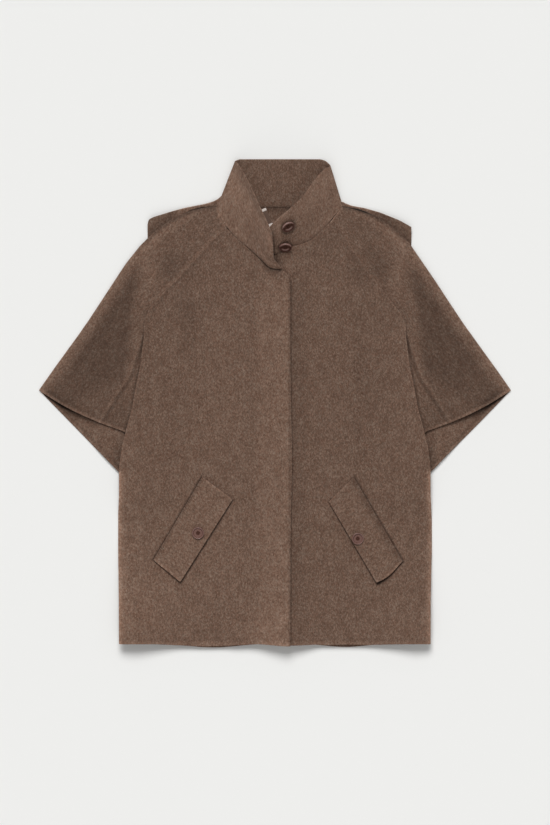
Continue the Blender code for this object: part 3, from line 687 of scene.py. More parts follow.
def right_front_painted_light(points, plans):
    """A painted highlight on the placket's strip, painted shadow in the corner under the collar's
    tip and beside the collar's seam, and painted light beside the collar's side.
    """
    x, y, _ = points.T
    total = body_painted_light(points, "right") + beside(x, PLACKET) * fading(y, *PLACKET_END)
    inner, outer = TIP_SPAN
    tip = beside(from_seam(x, y, 0, 4), TIP_SHADE) * smoothstep(x, *inner) * fading(x, *outer)
    near = beside(from_seam(x, y, 2, 8), SEAM_SHADE) * fading(y, *SEAM_SHADE_END)
    return total + tip + near * fading(x, *inner) + beside_collar(x, y, "right")


def left_front_painted_light(points, plans):
    """Painted shade beside the opening's edge and in the recess at the collar's end, and painted
    light beside the collar's side.
    """
    x, y, _ = points.T
    shade = beside(x - FRONT_EDGE_X, OPENING_SIDE) * fading(y, *OPENING_END)
    shade = shade + soft_spots(x, y, RECESS)
    return body_painted_light(points, "left") + shade + beside_collar(x, y, "left")


FRONT_PAINTED_LIGHT = {"right": right_front_painted_light, "left": left_front_painted_light}

# On the sleeves: spots of painted light and shade, painted shade in the hollow, painted
# highlights along the overarm fold, the cuff's edge and beside the raglan, painted shade at the
# shoulder's fold and beside the armhole, and painted shade and highlight along the underarm seam
SLEEVE_LEVEL = 0.91
SLEEVE_SPOTS = (
    # distance from the centre line, y, reach_x, reach_y, turn, value
    (190.0, 262.0, 60.0, 26.0, -35.0, 0.13),
    (196.0, 278.0, 26.0, 14.0, -45.0, 0.14),
    (198.0, 214.0, 14.0, 24.0, -20.0, 0.2),
    (168.0, 220.0, 22.0, 26.0, 0.0, -0.2),
    (204.0, 184.0, 12.0, 22.0, 0.0, 0.07),
    (330.0, 40.0, 20.0, 40.0, -35.0, 0.06),
)
LEFT_SLEEVE_SPOTS = ((146.0, 277.0, 34.0, 20.0, -20.0, -0.1),)
SLEEVE_DARK = 0.28  # how much darker the hollow is
SLEEVE_HOLLOW = (  # y, distance from the centre line at which the hollow starts
    (0.0, 240.0), (53.0, 240.0), (85.0, 236.0), (150.0, 232.0), (183.0, 223.0), (215.0, 220.0),
)
OVERARM_FOLD = ((0.0, 0.38), (2.0, 0.31), (5.0, 0.18), (9.0, 0.11), (13.0, 0.06), (18.0, 0.0))
SHOULDER_FOLD = ((0.0, -0.3), (3.0, -0.26), (5.0, -0.08), (7.5, 0.05), (12.0, 0.05), (20.0, 0.0))
CUFF_EDGE = ((0.0, 0.34), (2.2, 0.28), (4.0, 0.0), (7.0, -0.05), (11.0, 0.0))
ARMHOLE_SHADE = ((-4.0, -0.3), (0.2, -0.26), (1.6, -0.1), (3.0, 0.0))
UNDERARM_LINES = (
    (-9.0, 0.0), (-6.4, 0.1), (-4.6, 0.06), (-3.0, -0.2), (0.0, -0.26), (1.8, -0.06),
    (3.0, 0.14), (5.2, 0.18), (8.0, 0.0),
)
RAGLAN_SLEEVE = ((0.0, 0.08), (1.2, 0.18), (4.0, 0.17), (6.6, 0.0))
SLEEVE_RAGLAN = {"right": 1.0, "left": 0.4}  # how strong that line is on the sleeve
HOLLOW_EASE = ((-8, 10), (4, 27), (205, 240))  # past its start, inside the fold, in height
HOLLOW_END = ((238, 50), (0.52, 0.86))  # a place on the line where it ends, way across that
HOLLOW_END_EASE = (-18, 14)
HOLLOW_END_SHARE = 0.6
UPPER_SLEEVE = (236, 272)
ARMHOLE_SHADE_END = (100, 130)
UNDERARM_END = (95, 120)
CUFF_TIP = ((300, 345), 0.7)  # where the cuff's edge gets lighter still, and by how much


def sleeve_painted_light(points, plans):
    """Painted highlights along the sleeve's overarm fold and its cuff, painted shade at the
    shoulder's fold and in the hollow between the overarm and the armhole, which ends at a ridge
    and above the cuff's inner corner. Painted shade beside the armhole and in the slit at the
    shoulder, painted lines along the raglan and the underarm seam, painted light beside the
    collar."""
    x, y, _ = points.T
    side = "left" if x.mean() > 0 else "right"
    out = np.abs(x)
    fold = np.abs(from_curve(out, y, overarm(side, count=40))[0])
    edge, inside, top = HOLLOW_EASE
    hollow = smoothstep(out - beside(y, SLEEVE_HOLLOW), *edge) * smoothstep(fold, *inside)
    (end_out, end_y), (way_out, way_y) = HOLLOW_END
    below = smoothstep((end_out - out) * way_out + (end_y - y) * way_y, *HOLLOW_END_EASE)
    hollow = hollow * fading(y, *top) * (1 - HOLLOW_END_SHARE * below)
    upper = smoothstep(y, *UPPER_SLEEVE)
    total = SLEEVE_LEVEL + soft_spots(out, y, SLEEVE_SPOTS) - SLEEVE_DARK * hollow
    total = total + beside(fold, OVERARM_FOLD) * (1 - upper) + beside(fold, SHOULDER_FOLD) * upper
    armhole = seam_distance(x, y)
    total = total + beside(armhole, ARMHOLE_SHADE) * fading(y, *ARMHOLE_SHADE_END)
    raglan = beside(armhole * RAGLAN_SLANT, RAGLAN_SLEEVE)
    total = total + SLEEVE_RAGLAN[side] * raglan * smoothstep(y, *RAGLAN_START)
    seam, _ = from_curve(out, y, through(UNDERARM_SEAM, steps=5))
    total = total + beside(seam, UNDERARM_LINES) * fading(y, *UNDERARM_END)
    total = total + beside_collar(x, y, side)
    cuff, _ = from_curve(out, y, through(WRAP_CUFF + FRONT_CUFF[1:], steps=5))
    tip, more = CUFF_TIP
    total = total + beside(np.abs(cuff), CUFF_EDGE) * (1 + more * smoothstep(out, *tip))
    if side == "left":
        total = total + soft_spots(x, y, LEFT_SLEEVE_SPOTS)
    return total * (1 - slit(side, out, -fold))


# On the sleeve's inner face: a painted highlight along the cuff's edge with a darker hem line
# inside it, and painted shade beside the body's side
BACK_CUFF = ((0.0, 0.2), (2.0, 0.16), (3.6, -0.02), (5.0, -0.16), (6.8, -0.16), (9.4, 0.0))
BACK_BODY = ((0.0, -0.3), (6.0, -0.2), (13.0, 0.0))
BACK_BODY_END = (-92, -40)
# By the part of the cuff's length: how far down the painted shadow under the front's cuff
# reaches, and how dark it is
GAPE_WIDTH = ((0.0, 1.2), (0.42, 1.5), (0.6, 2.6), (0.75, 4.6), (0.92, 4.0), (1.0, 2.0))
GAPE_DEPTH = ((0.0, 0.3), (0.42, 0.34), (0.6, 0.7), (0.75, 0.92), (1.0, 0.92))
GAPE_EASE = (0.6, 1.4)


def sleeve_lining_painted_light(points, plans):
    """The inner face that shows in the cuff: a painted highlight and a hem line along its edge,
    painted shade beside the body's side, and painted shadow under the front's cuff, which is
    deepest and widest near the corner where front and back part."""
    x, y, _ = points.T
    out = np.abs(x)
    edge, _ = from_curve(out, y, ((HALF_WIDTH, UNDERARM_Y), CUFF_CORNER))
    under, part = from_curve(out, y, through(WRAP_CUFF[1:] + FRONT_CUFF[1:], steps=5))
    width = beside(part, GAPE_WIDTH)
    dark = beside(part, GAPE_DEPTH) * fading(-under, *np.multiply.outer(GAPE_EASE, width))
    body = beside(out - HALF_WIDTH, BACK_BODY) * fading(y, *BACK_BODY_END)
    return (1.0 + body + beside(np.abs(edge), BACK_CUFF)) * (1 - dark)


# On the storm flap: painted shade beside the shoulder, painted light on the narrow strip that
# shows near the collar, and painted shade in the slit at the sleeve's fold
STORM_LEVEL = 0.95
STORM_SHADE = ((0.0, -0.22), (3.0, -0.16), (7.0, -0.07), (12.0, 0.0))
STRIP_LIGHT = 0.62
STRIP_END = (146, 172)  # from the centre line, where the narrow strip gets wide
SLIT_PLACE = {"right": 1.3, "left": -0.1}  # how far beyond the sleeve's fold
SLIT_EASE = (0.9, 2.0)
SLIT_DEPTH = {  # distance from the centre line, how dark
    "right": ((88, 0.0), (96, 0.5), (107, 0.56), (113, 0.86), (118, 1.0), (130, 1.0),
              (137, 0.7), (144, 0.3), (158, 0.0)),
    "left": ((104, 0.0), (109, 0.4), (120, 0.5), (126, 0.72), (130, 1.0), (146, 1.0),
             (152, 0.7), (160, 0.42), (172, 0.0)),
}


def slit(side, out, beyond):
    """How dark the painted shade is in the slit between the storm flap and the sleeve's fold,
    near the collar.
    """
    return beside(out, SLIT_DEPTH[side]) * fading(np.abs(beyond - SLIT_PLACE[side]), *SLIT_EASE)


def storm_flap_painted_light(points, plans):
    """The storm flap, with painted shade beside the shoulder and in the slit, and painted light
    where a narrow strip of it shows near the collar."""
    x, y, _ = points.T
    shade = np.full(len(x), STORM_LEVEL)
    for side in SIDES:
        out = SIDES[side] * x
        beyond = np.abs(from_curve(np.abs(x), y, overarm(side, count=40))[0])
        wide = smoothstep(out, *STRIP_END)
        tone = shade + beside(beyond, STORM_SHADE) * wide + STRIP_LIGHT * (1 - wide)
        shade = np.where(out > 0, tone * (1 - slit(side, out, beyond)), shade)
    return shade


# Painted shade on the back's inner face beside the neck seam, lighter further off
NECK_SHADE = ((0.0, 0.58), (2.0, 0.7), (5.0, 0.9), (12.0, 1.08), (20.0, 1.16))


def back_painted_light(points, plans):
    """The back's inner face shows below the neck seam, with painted shade beside it."""
    return beside(NECK_BACK_Y - points[:, 1], NECK_SHADE)


COLLAR_LEVEL = (  # x, level
    (-80.0, 1.2), (-40.0, 1.28), (-10.0, 1.4), (20.0, 1.29), (60.0, 1.25), (100.0, 1.17),
)
# Painted shade at the collar's seam; the right half is lighter higher up and darker again towards
# its top edge
COLLAR_SEAMS = {  # distance up from the seam, how much lighter
    "right": ((0.0, -0.3), (1.2, -0.12), (2.6, 0.06), (30.0, 0.08), (52.0, 0.24), (62.0, 0.18),
              (66.0, 0.04), (71.0, -0.12), (73.4, -0.14), (75.4, -0.12), (78.0, -0.3)),
    "left": ((0.0, -0.14), (1.2, -0.04), (2.6, 0.04), (30.0, 0.04), (56.0, 0.12), (78.0, 0.12)),
}
COLLAR_MIDDLE = (170, 200)  # along the strip, between its right half and its left one
COLLAR_LOW = (1.0, 3.0)  # up from the seam
# Painted light just above the seam near the collar's sides
LOW_LIGHT = ((0.6, (272, 292)), (0.3, (20, 50)))  # there: right half by y, left half by x
# Painted shade on the left half beside the right one's end
END_SHADE = ((-9.0, 0.0), (-3.6, -0.14), (-1.8, -0.5), (0.0, -0.6), (9.0, -0.6))
END_SHADE_END = (276, 288)
# Spots of painted light and shade on the collar
COLLAR_SPOTS = (
    # x, y, reach_x, reach_y, turn, value
    (92.0, 337.0, 6.0, 22.0, -15.0, -0.12),
    (0.0, 262.0, 12.0, 24.0, 20.0, 0.1),
    (-12.0, 248.0, 12.0, 22.0, 0.0, 0.14),
)
# Painted shadow on the collar round its buttons
BUTTON_SHADE = (0.42, (0.6, 3.4), 1.0)  # how dark, how far past the rim, added height


def button_shade(x, y):
    """Painted shadow on the collar close round each of its buttons."""
    shade = np.ones(len(x))
    depth, ease, more = BUTTON_SHADE
    for place, (tilt, turn, _) in COLLAR_BUTTON_TURNS.items():
        middle = node_middle(f"collar_button_{place}")
        along, up = turned_by(turn).T @ (x - middle[0], y - middle[1] + BUTTON_DROP)
        wide = COLLAR_BUTTON / 2
        tall = wide * math.cos(math.radians(tilt)) + more
        past = (np.hypot(along / wide, up / tall) - 1) * tall
        shade *= 1 - depth * fading(past, *ease)
    return shade


def collar_painted_light(points, plans):
    """Lighter than the body, with painted shade at its seam and round its buttons and painted
    light low beside its sides. The right half is darker towards its top edge, and the left half
    has painted shade beside the right one's end."""
    x, y, _ = points.T
    along, up = plans.T
    right_half = fading(along, *COLLAR_MIDDLE)
    left_half = 1 - right_half
    level = beside(x, COLLAR_LEVEL) + soft_spots(x, y, COLLAR_SPOTS)
    level = level + beside(up, COLLAR_SEAMS["right"]) * right_half
    level = level + beside(up, COLLAR_SEAMS["left"]) * left_half
    (right_light, right_ease), (left_light, left_ease) = LOW_LIGHT
    light = right_light * right_half * smoothstep(y, *right_ease)
    light = light + left_light * left_half * smoothstep(x, *left_ease)
    level = (level + fading(up, *COLLAR_LOW) * light) * button_shade(x, y)
    end, _ = from_curve(x, y, collar_grid()[0, ::3, :2])
    return level * (1 + beside(end, END_SHADE) * left_half * fading(y, *END_SHADE_END))


# Painted shade on the collar's inner side beside the neck seam, lighter further off, and a spot
# of painted shade by its top corner
LINING_SEAM = ((0.0, 0.7), (2.4, 0.98), (6.0, 1.1), (12.0, 1.03), (40.0, 1.0))
LINING_SPOTS = ((76.0, 376.0, 5.0, 3.0, -40.0, -0.3),)


def collar_lining_painted_light(points, plans):
    """The collar's inner side, with painted shade beside the neck seam and beside its top corner.
    """
    x, y, _ = points.T
    return beside(plans[:, 1], LINING_SEAM) + soft_spots(x, y, LINING_SPOTS)


# Cloth pieces

ROW = 3.15  # spacing of the fronts' points
FINE_ROW = 1.9  # of the sleeves', storm flap's and pocket flaps'
BACK_ROW = 3.8


def rows_for(length, spacing=ROW):
    """How many points a length takes at this spacing, at least three."""
    return max(3, int(round(length / spacing)) + 1)


def refined(plan, *windows):
    """The grid with one more line halfway between neighbours inside each window. A window
    is (0, low y, high y) for rows or (1, low x, high x) for columns."""
    for axis, low, high in windows:
        middles = plan.mean(axis=1 - axis)[:, 1 - axis]
        middles = (middles[1:] + middles[:-1]) / 2
        chosen = np.flatnonzero((middles > low) & (middles < high))
        halfway = (plan.take(chosen, axis) + plan.take(chosen + 1, axis)) / 2
        plan = np.insert(plan, chosen + 1, halfway, axis)
    return plan


def hem_edge(start_x, end_x, dips, columns):
    """The hem across the body: a straight line that dips smoothly in some places."""
    x = np.linspace(start_x, end_x, columns)
    dip = sum(
        length * fading(np.abs(x - centre), 0, reach) for centre, reach, length in dips
    )
    return np.stack([x, HEM_Y - dip], axis=-1)


# Where a front's grid is twice as fine
FINE_HEM = 9.0  # above the hem
FINE_RECESS = (190, 250)  # heights beside the collar's end
FINE_FOLD = 7.0  # to either side of the armhole's fold
FINE_OPENING = (-6.0, 9.0)  # from the opening's edge

BACK_INSET = 1.6  # of the back's edge from its seam line
SLEEVE_BACK_INSET = (1.6, 1.2)  # of the sleeve's back from the overarm fold
SLEEVE_WIDTHS = {"front": 130.0, "back": 120.0}
SLEEVE_GRAIN = 32
TUCK_COLUMNS, WRAP_COLUMNS, TURN_COLUMNS = 8, 28, 9

STORM_FLAP_SIZE = (440.0, 200.0)
STORM_FLAP_FINE = (280, 330)  # heights where its grid is twice as fine
FLAP_CURL = 5.0
FLAP_CURL_START = 90.0  # from the centre line
FLAP_CURL_EASE = (1.0, 16.0)  # past the sleeve's fold


def falling(top, *stretches, spacing=ROW):
    """Heights of a piece's rows down its stretches, which start where the last one ended."""
    heights, start = [np.array([top])], top
    for end in stretches:
        heights.append(np.linspace(start, end, rows_for(start - end, spacing))[1:])
        start = end
    return np.concatenate(heights)


def side_edge(line, side, inset, spacing=ROW):
    """The raglan seam, the armhole and the side seam down to the hem."""
    curve = np.vstack([line, (HALF_WIDTH, HEM_Y)])
    heights = falling(line[0, 1], RAGLAN_END_Y, HEM_Y, spacing=spacing)
    return mirrored(at_heights(curve, heights) - (inset, 0), side)


def front(side, look):
    """A front: neck seam above, raglan, armhole and side seam outside, and the opening's
    edge at the centre, which on the right front bows out by a few millimetres halfway down."""
    columns = rows_for(HALF_WIDTH + FRONT_EDGE_X)
    neck = np.asarray(RIGHT_NECK if side == "right" else LEFT_NECK[::-1], float)
    neck = moved_aside(spaced(through(neck), columns), SIDES[side] * NECK_GAP)
    outer = side_edge(SEAM_LINES[side], side, GAP / 2)
    starts, ends = FOLD_INSET_EASE
    drawn_in = FOLD_INSET * smoothstep(outer[:, 1], *starts) * fading(outer[:, 1], *ends)
    outer[:, 0] -= SIDES[side] * drawn_in
    neck[0] = outer[0]
    share = (outer[:, 1] - HEM_Y) / (outer[0, 1] - HEM_Y)
    heights = HEM_Y + (neck[-1, 1] - HEM_Y) * share
    most, middle, reach = OPENING_BOW
    further = most * np.exp(-(((heights - middle) / reach) ** 2)) * (side == "right")
    centre = np.stack([-SIDES[side] * FRONT_EDGE_X + further, heights], axis=-1)
    centre[0] = neck[-1]
    hem = hem_edge(outer[-1, 0], centre[-1, 0], FRONT_HEM_DIPS[side], columns)
    centre[-1] = hem[-1]
    plan = patch(outer, centre, neck, hem)
    (top, foot), (inner, far) = FLAP_WINDOW
    flap, edge = sorted([SIDES[side] * inner, SIDES[side] * far]), SIDES[side] * HALF_WIDTH
    plan = refined(
        plan, (0, foot, top), (0, HEM_Y, HEM_Y + FINE_HEM), (0, *FINE_RECESS), (1, *flap),
        (1, edge - FINE_FOLD, edge + FINE_FOLD), (1, *np.add(FRONT_EDGE_X, FINE_OPENING)),
    )
    grids = [laid(plan, FRONT_UNDERS[side])]
    piece = shell(f"{side}_front_panel", grids, look, tone_and_painted_light=FRONT_PAINTED_LIGHT[side])
    return dressed(piece, f"{side}_front")


def back(look):
    """The back, from the neck seam to the hem, between the raglans, armholes and sides."""
    edges = [side_edge(BACK_SEAM_LINES[side], side, BACK_INSET, BACK_ROW) for side in SIDES]
    columns = rows_for(2 * HALF_WIDTH, BACK_ROW)
    neck = np.linspace(edges[0][0], edges[1][0], columns)
    hem = hem_edge(edges[0][-1, 0], edges[1][-1, 0], HEM_DIPS, columns)
    plan = patch(edges[0], edges[1], neck, hem)
    piece = shell("back_panel", [laid(plan, back_under, -1)], look, inner_tone_and_painted_light=back_painted_light)
    return dressed(piece, "back")


def sleeve_front(side, look):
    """The sleeve's front, from the neck to the cuff, between the raglan and the underarm
    seam inside and the overarm fold outside."""
    columns = rows_for(SLEEVE_WIDTHS["front"], FINE_ROW)
    (_, top), (_, turn), (_, foot) = RAGLAN[side][0], UNDERARM_SEAM[0], UNDERARM_SEAM[-1]
    heights = falling(top, RAGLAN_END_Y, turn, foot, spacing=FINE_ROW)
    inner = mirrored(at_heights(SLEEVE_LINES[side], heights) + (GAP / 2, 0), side)
    outer = mirrored(overarm(side, len(inner)), side)
    neck = np.linspace(inner[0], outer[0], columns)
    cuff = mirrored(spaced(through(FRONT_CUFF), columns), side)
    cuff[0] = inner[-1]
    plan = patch(inner, outer, neck, cuff)
    piece = shell(
        f"sleeve_front_panel_{side}", [laid(plan, sleeve_front_under)], look,
        tone_and_painted_light=sleeve_painted_light, grain=SIDES[side] * SLEEVE_GRAIN,
    )
    return dressed(piece, f"sleeve_front_{side}")


def sleeve_back(side, look):
    """The sleeve's back lies under its front. At the armhole it runs in between the body's
    front and back, folds over there and comes out again above, to the underarm seam."""
    columns = rows_for(SLEEVE_WIDTHS["back"], FINE_ROW)
    tuck_rows = rows_for(RAGLAN_END_Y - UNDERARM_Y, FINE_ROW)
    tuck_heights = np.linspace(RAGLAN_END_Y, UNDERARM_Y, tuck_rows + 1)
    heights = np.concatenate([falling(NECK_BACK_Y, RAGLAN_END_Y)[:-1], tuck_heights])
    seam = at_heights(BACK_SEAM_LINES[side], heights) + (GAP / 2, 0)
    outer = overarm(side, len(seam)) - SLEEVE_BACK_INSET
    neck = np.linspace(seam[0], outer[0], columns)
    cuff = np.linspace(seam[-1], outer[-1], columns)
    visible = patch(seam, outer, neck, cuff)

    tucked_seam = seam[-tuck_rows:]
    part = np.linspace(0, 1, tuck_rows)
    fold = tucked_seam - np.stack([np.interp(part, [0, 1], TUCK_DEPTH), 0 * part], axis=-1)
    fold[-1] = WRAP_CUFF[0]
    hidden = np.linspace(fold, tucked_seam, TUCK_COLUMNS, axis=1)

    heights = np.linspace(UNDERARM_SEAM[0][1], UNDERARM_SEAM[-1][1], tuck_rows)
    underarm = at_heights(SLEEVE_LINES[side], heights) - (GAP / 2, 0)
    wrap_top = np.linspace(fold[0], underarm[0], WRAP_COLUMNS)
    wrap_cuff = spaced(through(WRAP_CUFF), WRAP_COLUMNS)
    wrap_cuff[-1] = underarm[-1]
    wrap = patch(fold, underarm, wrap_top, wrap_cuff)

    grids = [
        laid(mirrored(visible, side), sleeve_back_under, -1),
        laid(mirrored(hidden, side), sleeve_back_under, -1),
        laid(mirrored(wrap, side), wrap_under, 1),
        turned_edge(mirrored(fold, side), side),
    ]
    piece = shell(
        f"sleeve_back_panel_{side}", grids, look,
        tone_and_painted_light=sleeve_painted_light, inner_tone_and_painted_light=sleeve_lining_painted_light, grain=SIDES[side] * SLEEVE_GRAIN,
    )
    return dressed(piece, f"sleeve_back_{side}")


def turned_edge(fold, side):
    """The half-round turn between the sleeve's lower and upper layers along their fold:
    the middle height plus radius times sine, moved inwards by radius times cosine."""
    x, y = fold.T
    low = sleeve_back_under(x, y) + CLOTH / 2
    high = wrap_under(x, y) + CLOTH / 2
    radius = ((high - low) / 2)[:, None]
    angles = np.linspace(-math.pi / 2, math.pi / 2, TURN_COLUMNS)[None]
    grid = np.dstack(
        [
            x[:, None] - SIDES[side] * radius * np.cos(angles),
            y[:, None] + 0 * angles,
            (low + high)[:, None] / 2 + radius * np.sin(angles),
        ]
    )
    grid[:, 0] = np.stack([x, y, low], axis=-1)
    grid[:, -1] = np.stack([x, y, high], axis=-1)
    return grid[:, ::-1] if side == "right" else grid


def storm_flap(look):
    """The cape over the shoulder blades: flat below the garment, while its free ends past
    the shoulders curl up towards their edges."""
    halves = [mirrored(through(STORM_FLAP[side]), side) for side in SIDES]
    width, height = STORM_FLAP_SIZE
    columns, rows = rows_for(width, FINE_ROW), rows_for(height)
    top = spaced(np.vstack([halves[0][::-1], halves[1]]), columns)
    ends = [np.linspace(corner, (corner[0], FLAP_LOW_Y), rows) for corner in (top[0], top[-1])]
    low = np.linspace(ends[0][-1], ends[1][-1], columns)
    plan = refined(patch(*ends, top, low), (0, *STORM_FLAP_FINE))
    x, y = plan[..., 0], plan[..., 1]
    beyond = np.zeros(x.shape)
    for side in SIDES:
        edge, out = mirrored(overarm(side, count=90), side), SIDES[side] * x
        above = y > np.interp(out, SIDES[side] * edge[:, 0], edge[:, 1], left=1e3)
        free_end = above & (out > FLAP_CURL_START)
        beyond = np.where(free_end, np.abs(from_curve(x, y, edge)[0]), beyond)
    curl = FLAP_CURL * smoothstep(beyond, *FLAP_CURL_EASE)
    piece = shell("storm_flap_panel", [laid(plan, curl, -1)], look, inner_tone_and_painted_light=storm_flap_painted_light)
    return dressed(piece, "storm_flap")


# The collar

COLLAR = (
    # seam_x, seam_y, seam_rise, top_x, top_y, top_z, lies
    (10.7, 218.0, 1.6, -5.6, 274.4, 60.0, 0.0),
    (-6.3, 219.6, 0.8, -14.6, 294.8, 60.0, 0.0),
    (-20.3, 231.6, 0.3, -24.6, 315.9, 57.5, 0.0),
    (-40.0, 249.3, 0.2, -35.6, 340.8, 49.0, 0.0),
    (-61.6, 267.3, 0.3, -45.9, 362.0, 36.0, 0.0),
    (-78.0, 286.4, 0.6, -55.8, 379.6, 21.0, 0.0),
    (-88.5, 303.0, 0.5, -60.6, 387.5, 14.0, 0.1),
    (-92.3, 318.6, 0.8, -63.9, 391.2, 8.0, 0.5),
    (-80.0, 318.0, 0.3, -54.0, COLLAR_TOP_Y, 1.0, 1.0),
    (-40.5, 317.4, 0.3, -21.0, COLLAR_TOP_Y, 1.0, 1.0),
    (0.0, 317.4, 0.3, 9.7, COLLAR_TOP_Y, 1.0, 1.0),
    (45.0, 317.4, 0.3, 45.0, COLLAR_TOP_Y, 1.0, 1.0),
    (88.0, 318.2, 0.3, 69.0, COLLAR_TOP_Y, 1.2, 1.0),
    (102.0, 320.4, 0.6, 82.6, 390.7, 4.0, 0.9),
    (108.2, 320.6, 0.6, 88.6, 384.4, 9.0, 0.5),
    (94.0, 301.8, 0.3, 80.2, 378.2, 18.0, 0.0),
    (81.0, 286.8, 0.3, 63.5, 358.9, 30.5, 0.0),
    (56.0, 264.6, 0.2, 46.4, 334.6, 42.5, 0.0),
    (27.4, 254.8, 0.2, 26.6, 315.3, 49.0, 0.0),
    (-1.0, 240.6, 0.2, 5.6, 297.6, 50.5, 0.0),
    (-21.0, 236.0, 0.0, -8.4, 283.8, 48.5, 0.0),
)
RIGHT_FOLD, LEFT_FOLD = 7, 14  # rows of COLLAR at the shoulders
COLLAR_STATIONS = 300  # points along the strip
COLLAR_ROWS = 46  # and up its height
COLLAR_MEASURED_ROW = 10  # the one whose length is the flat strip's
COLLAR_HEIGHT = 78.0
COLLAR_CLOTH = 2.4
COLLAR_TOP_GAP = 0.8
COLLAR_SETTLE = (0.2, 0.75)  # parts of the height between which the lying back comes down
COLLAR_BOW = 0.12  # of the rise
COLLAR_BELLY = (1.7, 0.16)  # how far it bulges over its seam, up to which part of the height
COLLAR_END_REACH = 26.0
COLLAR_END = (
    # part of the height, how far the right half's end edge stands back
    (0.0, 0.0), (0.1, 3.0), (0.2, 7.4), (0.27, 8.9),
    (0.33, 8.0), (0.5, 5.8), (0.75, 2.4), (1.0, 0.0),
)


def collar_grid():
    """The collar's middle surface. The rows of COLLAR are joined smoothly along the strip.
    From the seam to the top edge the standing fronts rise, bowed out by a sine of the part
    of the height and bulging over their seam by another, and the lying back comes down to
    the table by a smooth step."""
    rows = np.array(COLLAR)
    seam_x, seam_y, seam_rise = rows[:, :3].T
    panel = np.full(len(rows), STEP)
    panel[:RIGHT_FOLD] = right_front_under(seam_x[:RIGHT_FOLD], seam_y[:RIGHT_FOLD])
    panel[LEFT_FOLD + 1 :] = left_front_under(seam_x[LEFT_FOLD + 1 :], seam_y[LEFT_FOLD + 1 :])
    panel[[RIGHT_FOLD, LEFT_FOLD]] += CLOTH
    stations = np.column_stack([seam_x, seam_y, panel + CLOTH / 2 + seam_rise, rows[:, 3:]])
    strip = spaced(through(stations, steps=24), COLLAR_STATIONS)
    strip[:, [2, 5]] = np.maximum(strip[:, [2, 5]], CLOTH / 2)
    strip[:, 4] = np.minimum(strip[:, 4], COLLAR_TOP_Y - COLLAR_TOP_GAP)
    seam, top, lies = strip[:, :3], strip[:, 3:6], np.clip(strip[:, 6], 0, 1)[:, None]
    across = np.linspace(0, 1, COLLAR_ROWS)[None, :]
    grid = seam[:, None] * (1 - across[..., None]) + top[:, None] * across[..., None]
    rise = (top - seam)[:, None, 2]
    settled = smoothstep(across, *COLLAR_SETTLE) - across
    bowed = COLLAR_BOW * np.sin(math.pi * across) * (1 - lies)
    grid[..., 2] += (lies * settled + bowed) * rise

    outward = unit(seam[:, :2] - top[:, :2])[:, None]
    most, end = COLLAR_BELLY
    belly = most * np.sin(math.pi * np.clip(across / end, 0, 1)) * (1 - lies)
    grid[..., :2] += outward * belly[..., None]
    arc = run_along(seam)
    stands_back = np.interp(across, *np.transpose(COLLAR_END))
    grid[..., 0] -= stands_back * fading(arc, 0, COLLAR_END_REACH)[:, None]
    return grid


def collar(look):
    """One strip from end to end, whose outer side is the sheet's inner face."""
    grid = collar_grid()
    along = run_along(grid[:, COLLAR_MEASURED_ROW])
    across = np.linspace(0, COLLAR_HEIGHT, COLLAR_ROWS)
    flat = np.dstack(np.meshgrid(along, across, indexing="ij"))
    piece = shell(
        "stand_collar", [grid], look, COLLAR_CLOTH, tone_and_painted_light=collar_lining_painted_light, inner_tone_and_painted_light=collar_painted_light,
        flat=[flat],
    )
    return dressed(piece, "collar")


# Pocket flaps

POCKET_FLAPS = {  # corners: top and foot of the sewn side, top and foot of the free side
    "right": ((-117.6, -121.4), (-195.5, -254.0), (-70.1, -156.3), (-153.7, -288.3)),
    "left": ((127.2, -121.8), (205.3, -256.4), (88.6, -160.2), (164.6, -289.3)),
}
FLAP_WINDOW = ((-105.0, -302.0), (58.0, 214.0))
POCKET_FLAP_BOW = {"right": 0.0, "left": 4.0}  # how far the foot bows out
POCKET_FLAP_BOW_POWER = 1.3
POCKET_FLAP_SIZE = (60.0, 158.0)
POCKET_FLAP_CLOTH = 3.0
POCKET_FLAP_GAP = 0.5
POCKET_FLAP_BULGE = 0.9
POCKET_FLAP_GRAIN = -31
POCKET_FLAP_LIFT = {"right": (2.0, 0.6), "left": (2.2, 1.4)}  # along the free side, at the foot
FREE_LIFT_EASE = ((0.1, 1.0), (-0.1, 0.3))  # parts of the width and of the length
FOOT_LIFT_EASE = ((-0.1, 0.5), (0.72, 1.0))


def flap_point(side, across, along):
    """A place on a flap at these parts of its width and length, ruled between its sides."""
    sewn_top, sewn_foot, free_top, free_foot = np.asarray(POCKET_FLAPS[side])
    sewn = sewn_top * (1 - along) + sewn_foot * along
    free = free_top * (1 - along) + free_foot * along
    return sewn * (1 - across) + free * across


def foot_bow(side, across):
    """How far the foot bows out: a sine of a power of the part across."""
    part = np.clip(across, 0, 1) ** POCKET_FLAP_BOW_POWER
    return POCKET_FLAP_BOW[side] * np.sin(math.pi * part)


def flap_sides(side, x, y):
    """How far a place is outside a flap's sewn side, foot, free side and top."""
    corners = [flap_point(side, *parts) for parts in ((0, 0), (0, 1), (1, 1), (1, 0))]
    outside = []
    for a, b in zip(corners, corners[1:] + corners[:1]):
        way = unit(b - a)
        outside.append(SIDES[side] * (way[0] * (y - a[1]) - way[1] * (x - a[0])))
    outside[1] = outside[1] - foot_bow(side, -outside[0] / POCKET_FLAP_SIZE[0])
    return np.stack(outside)


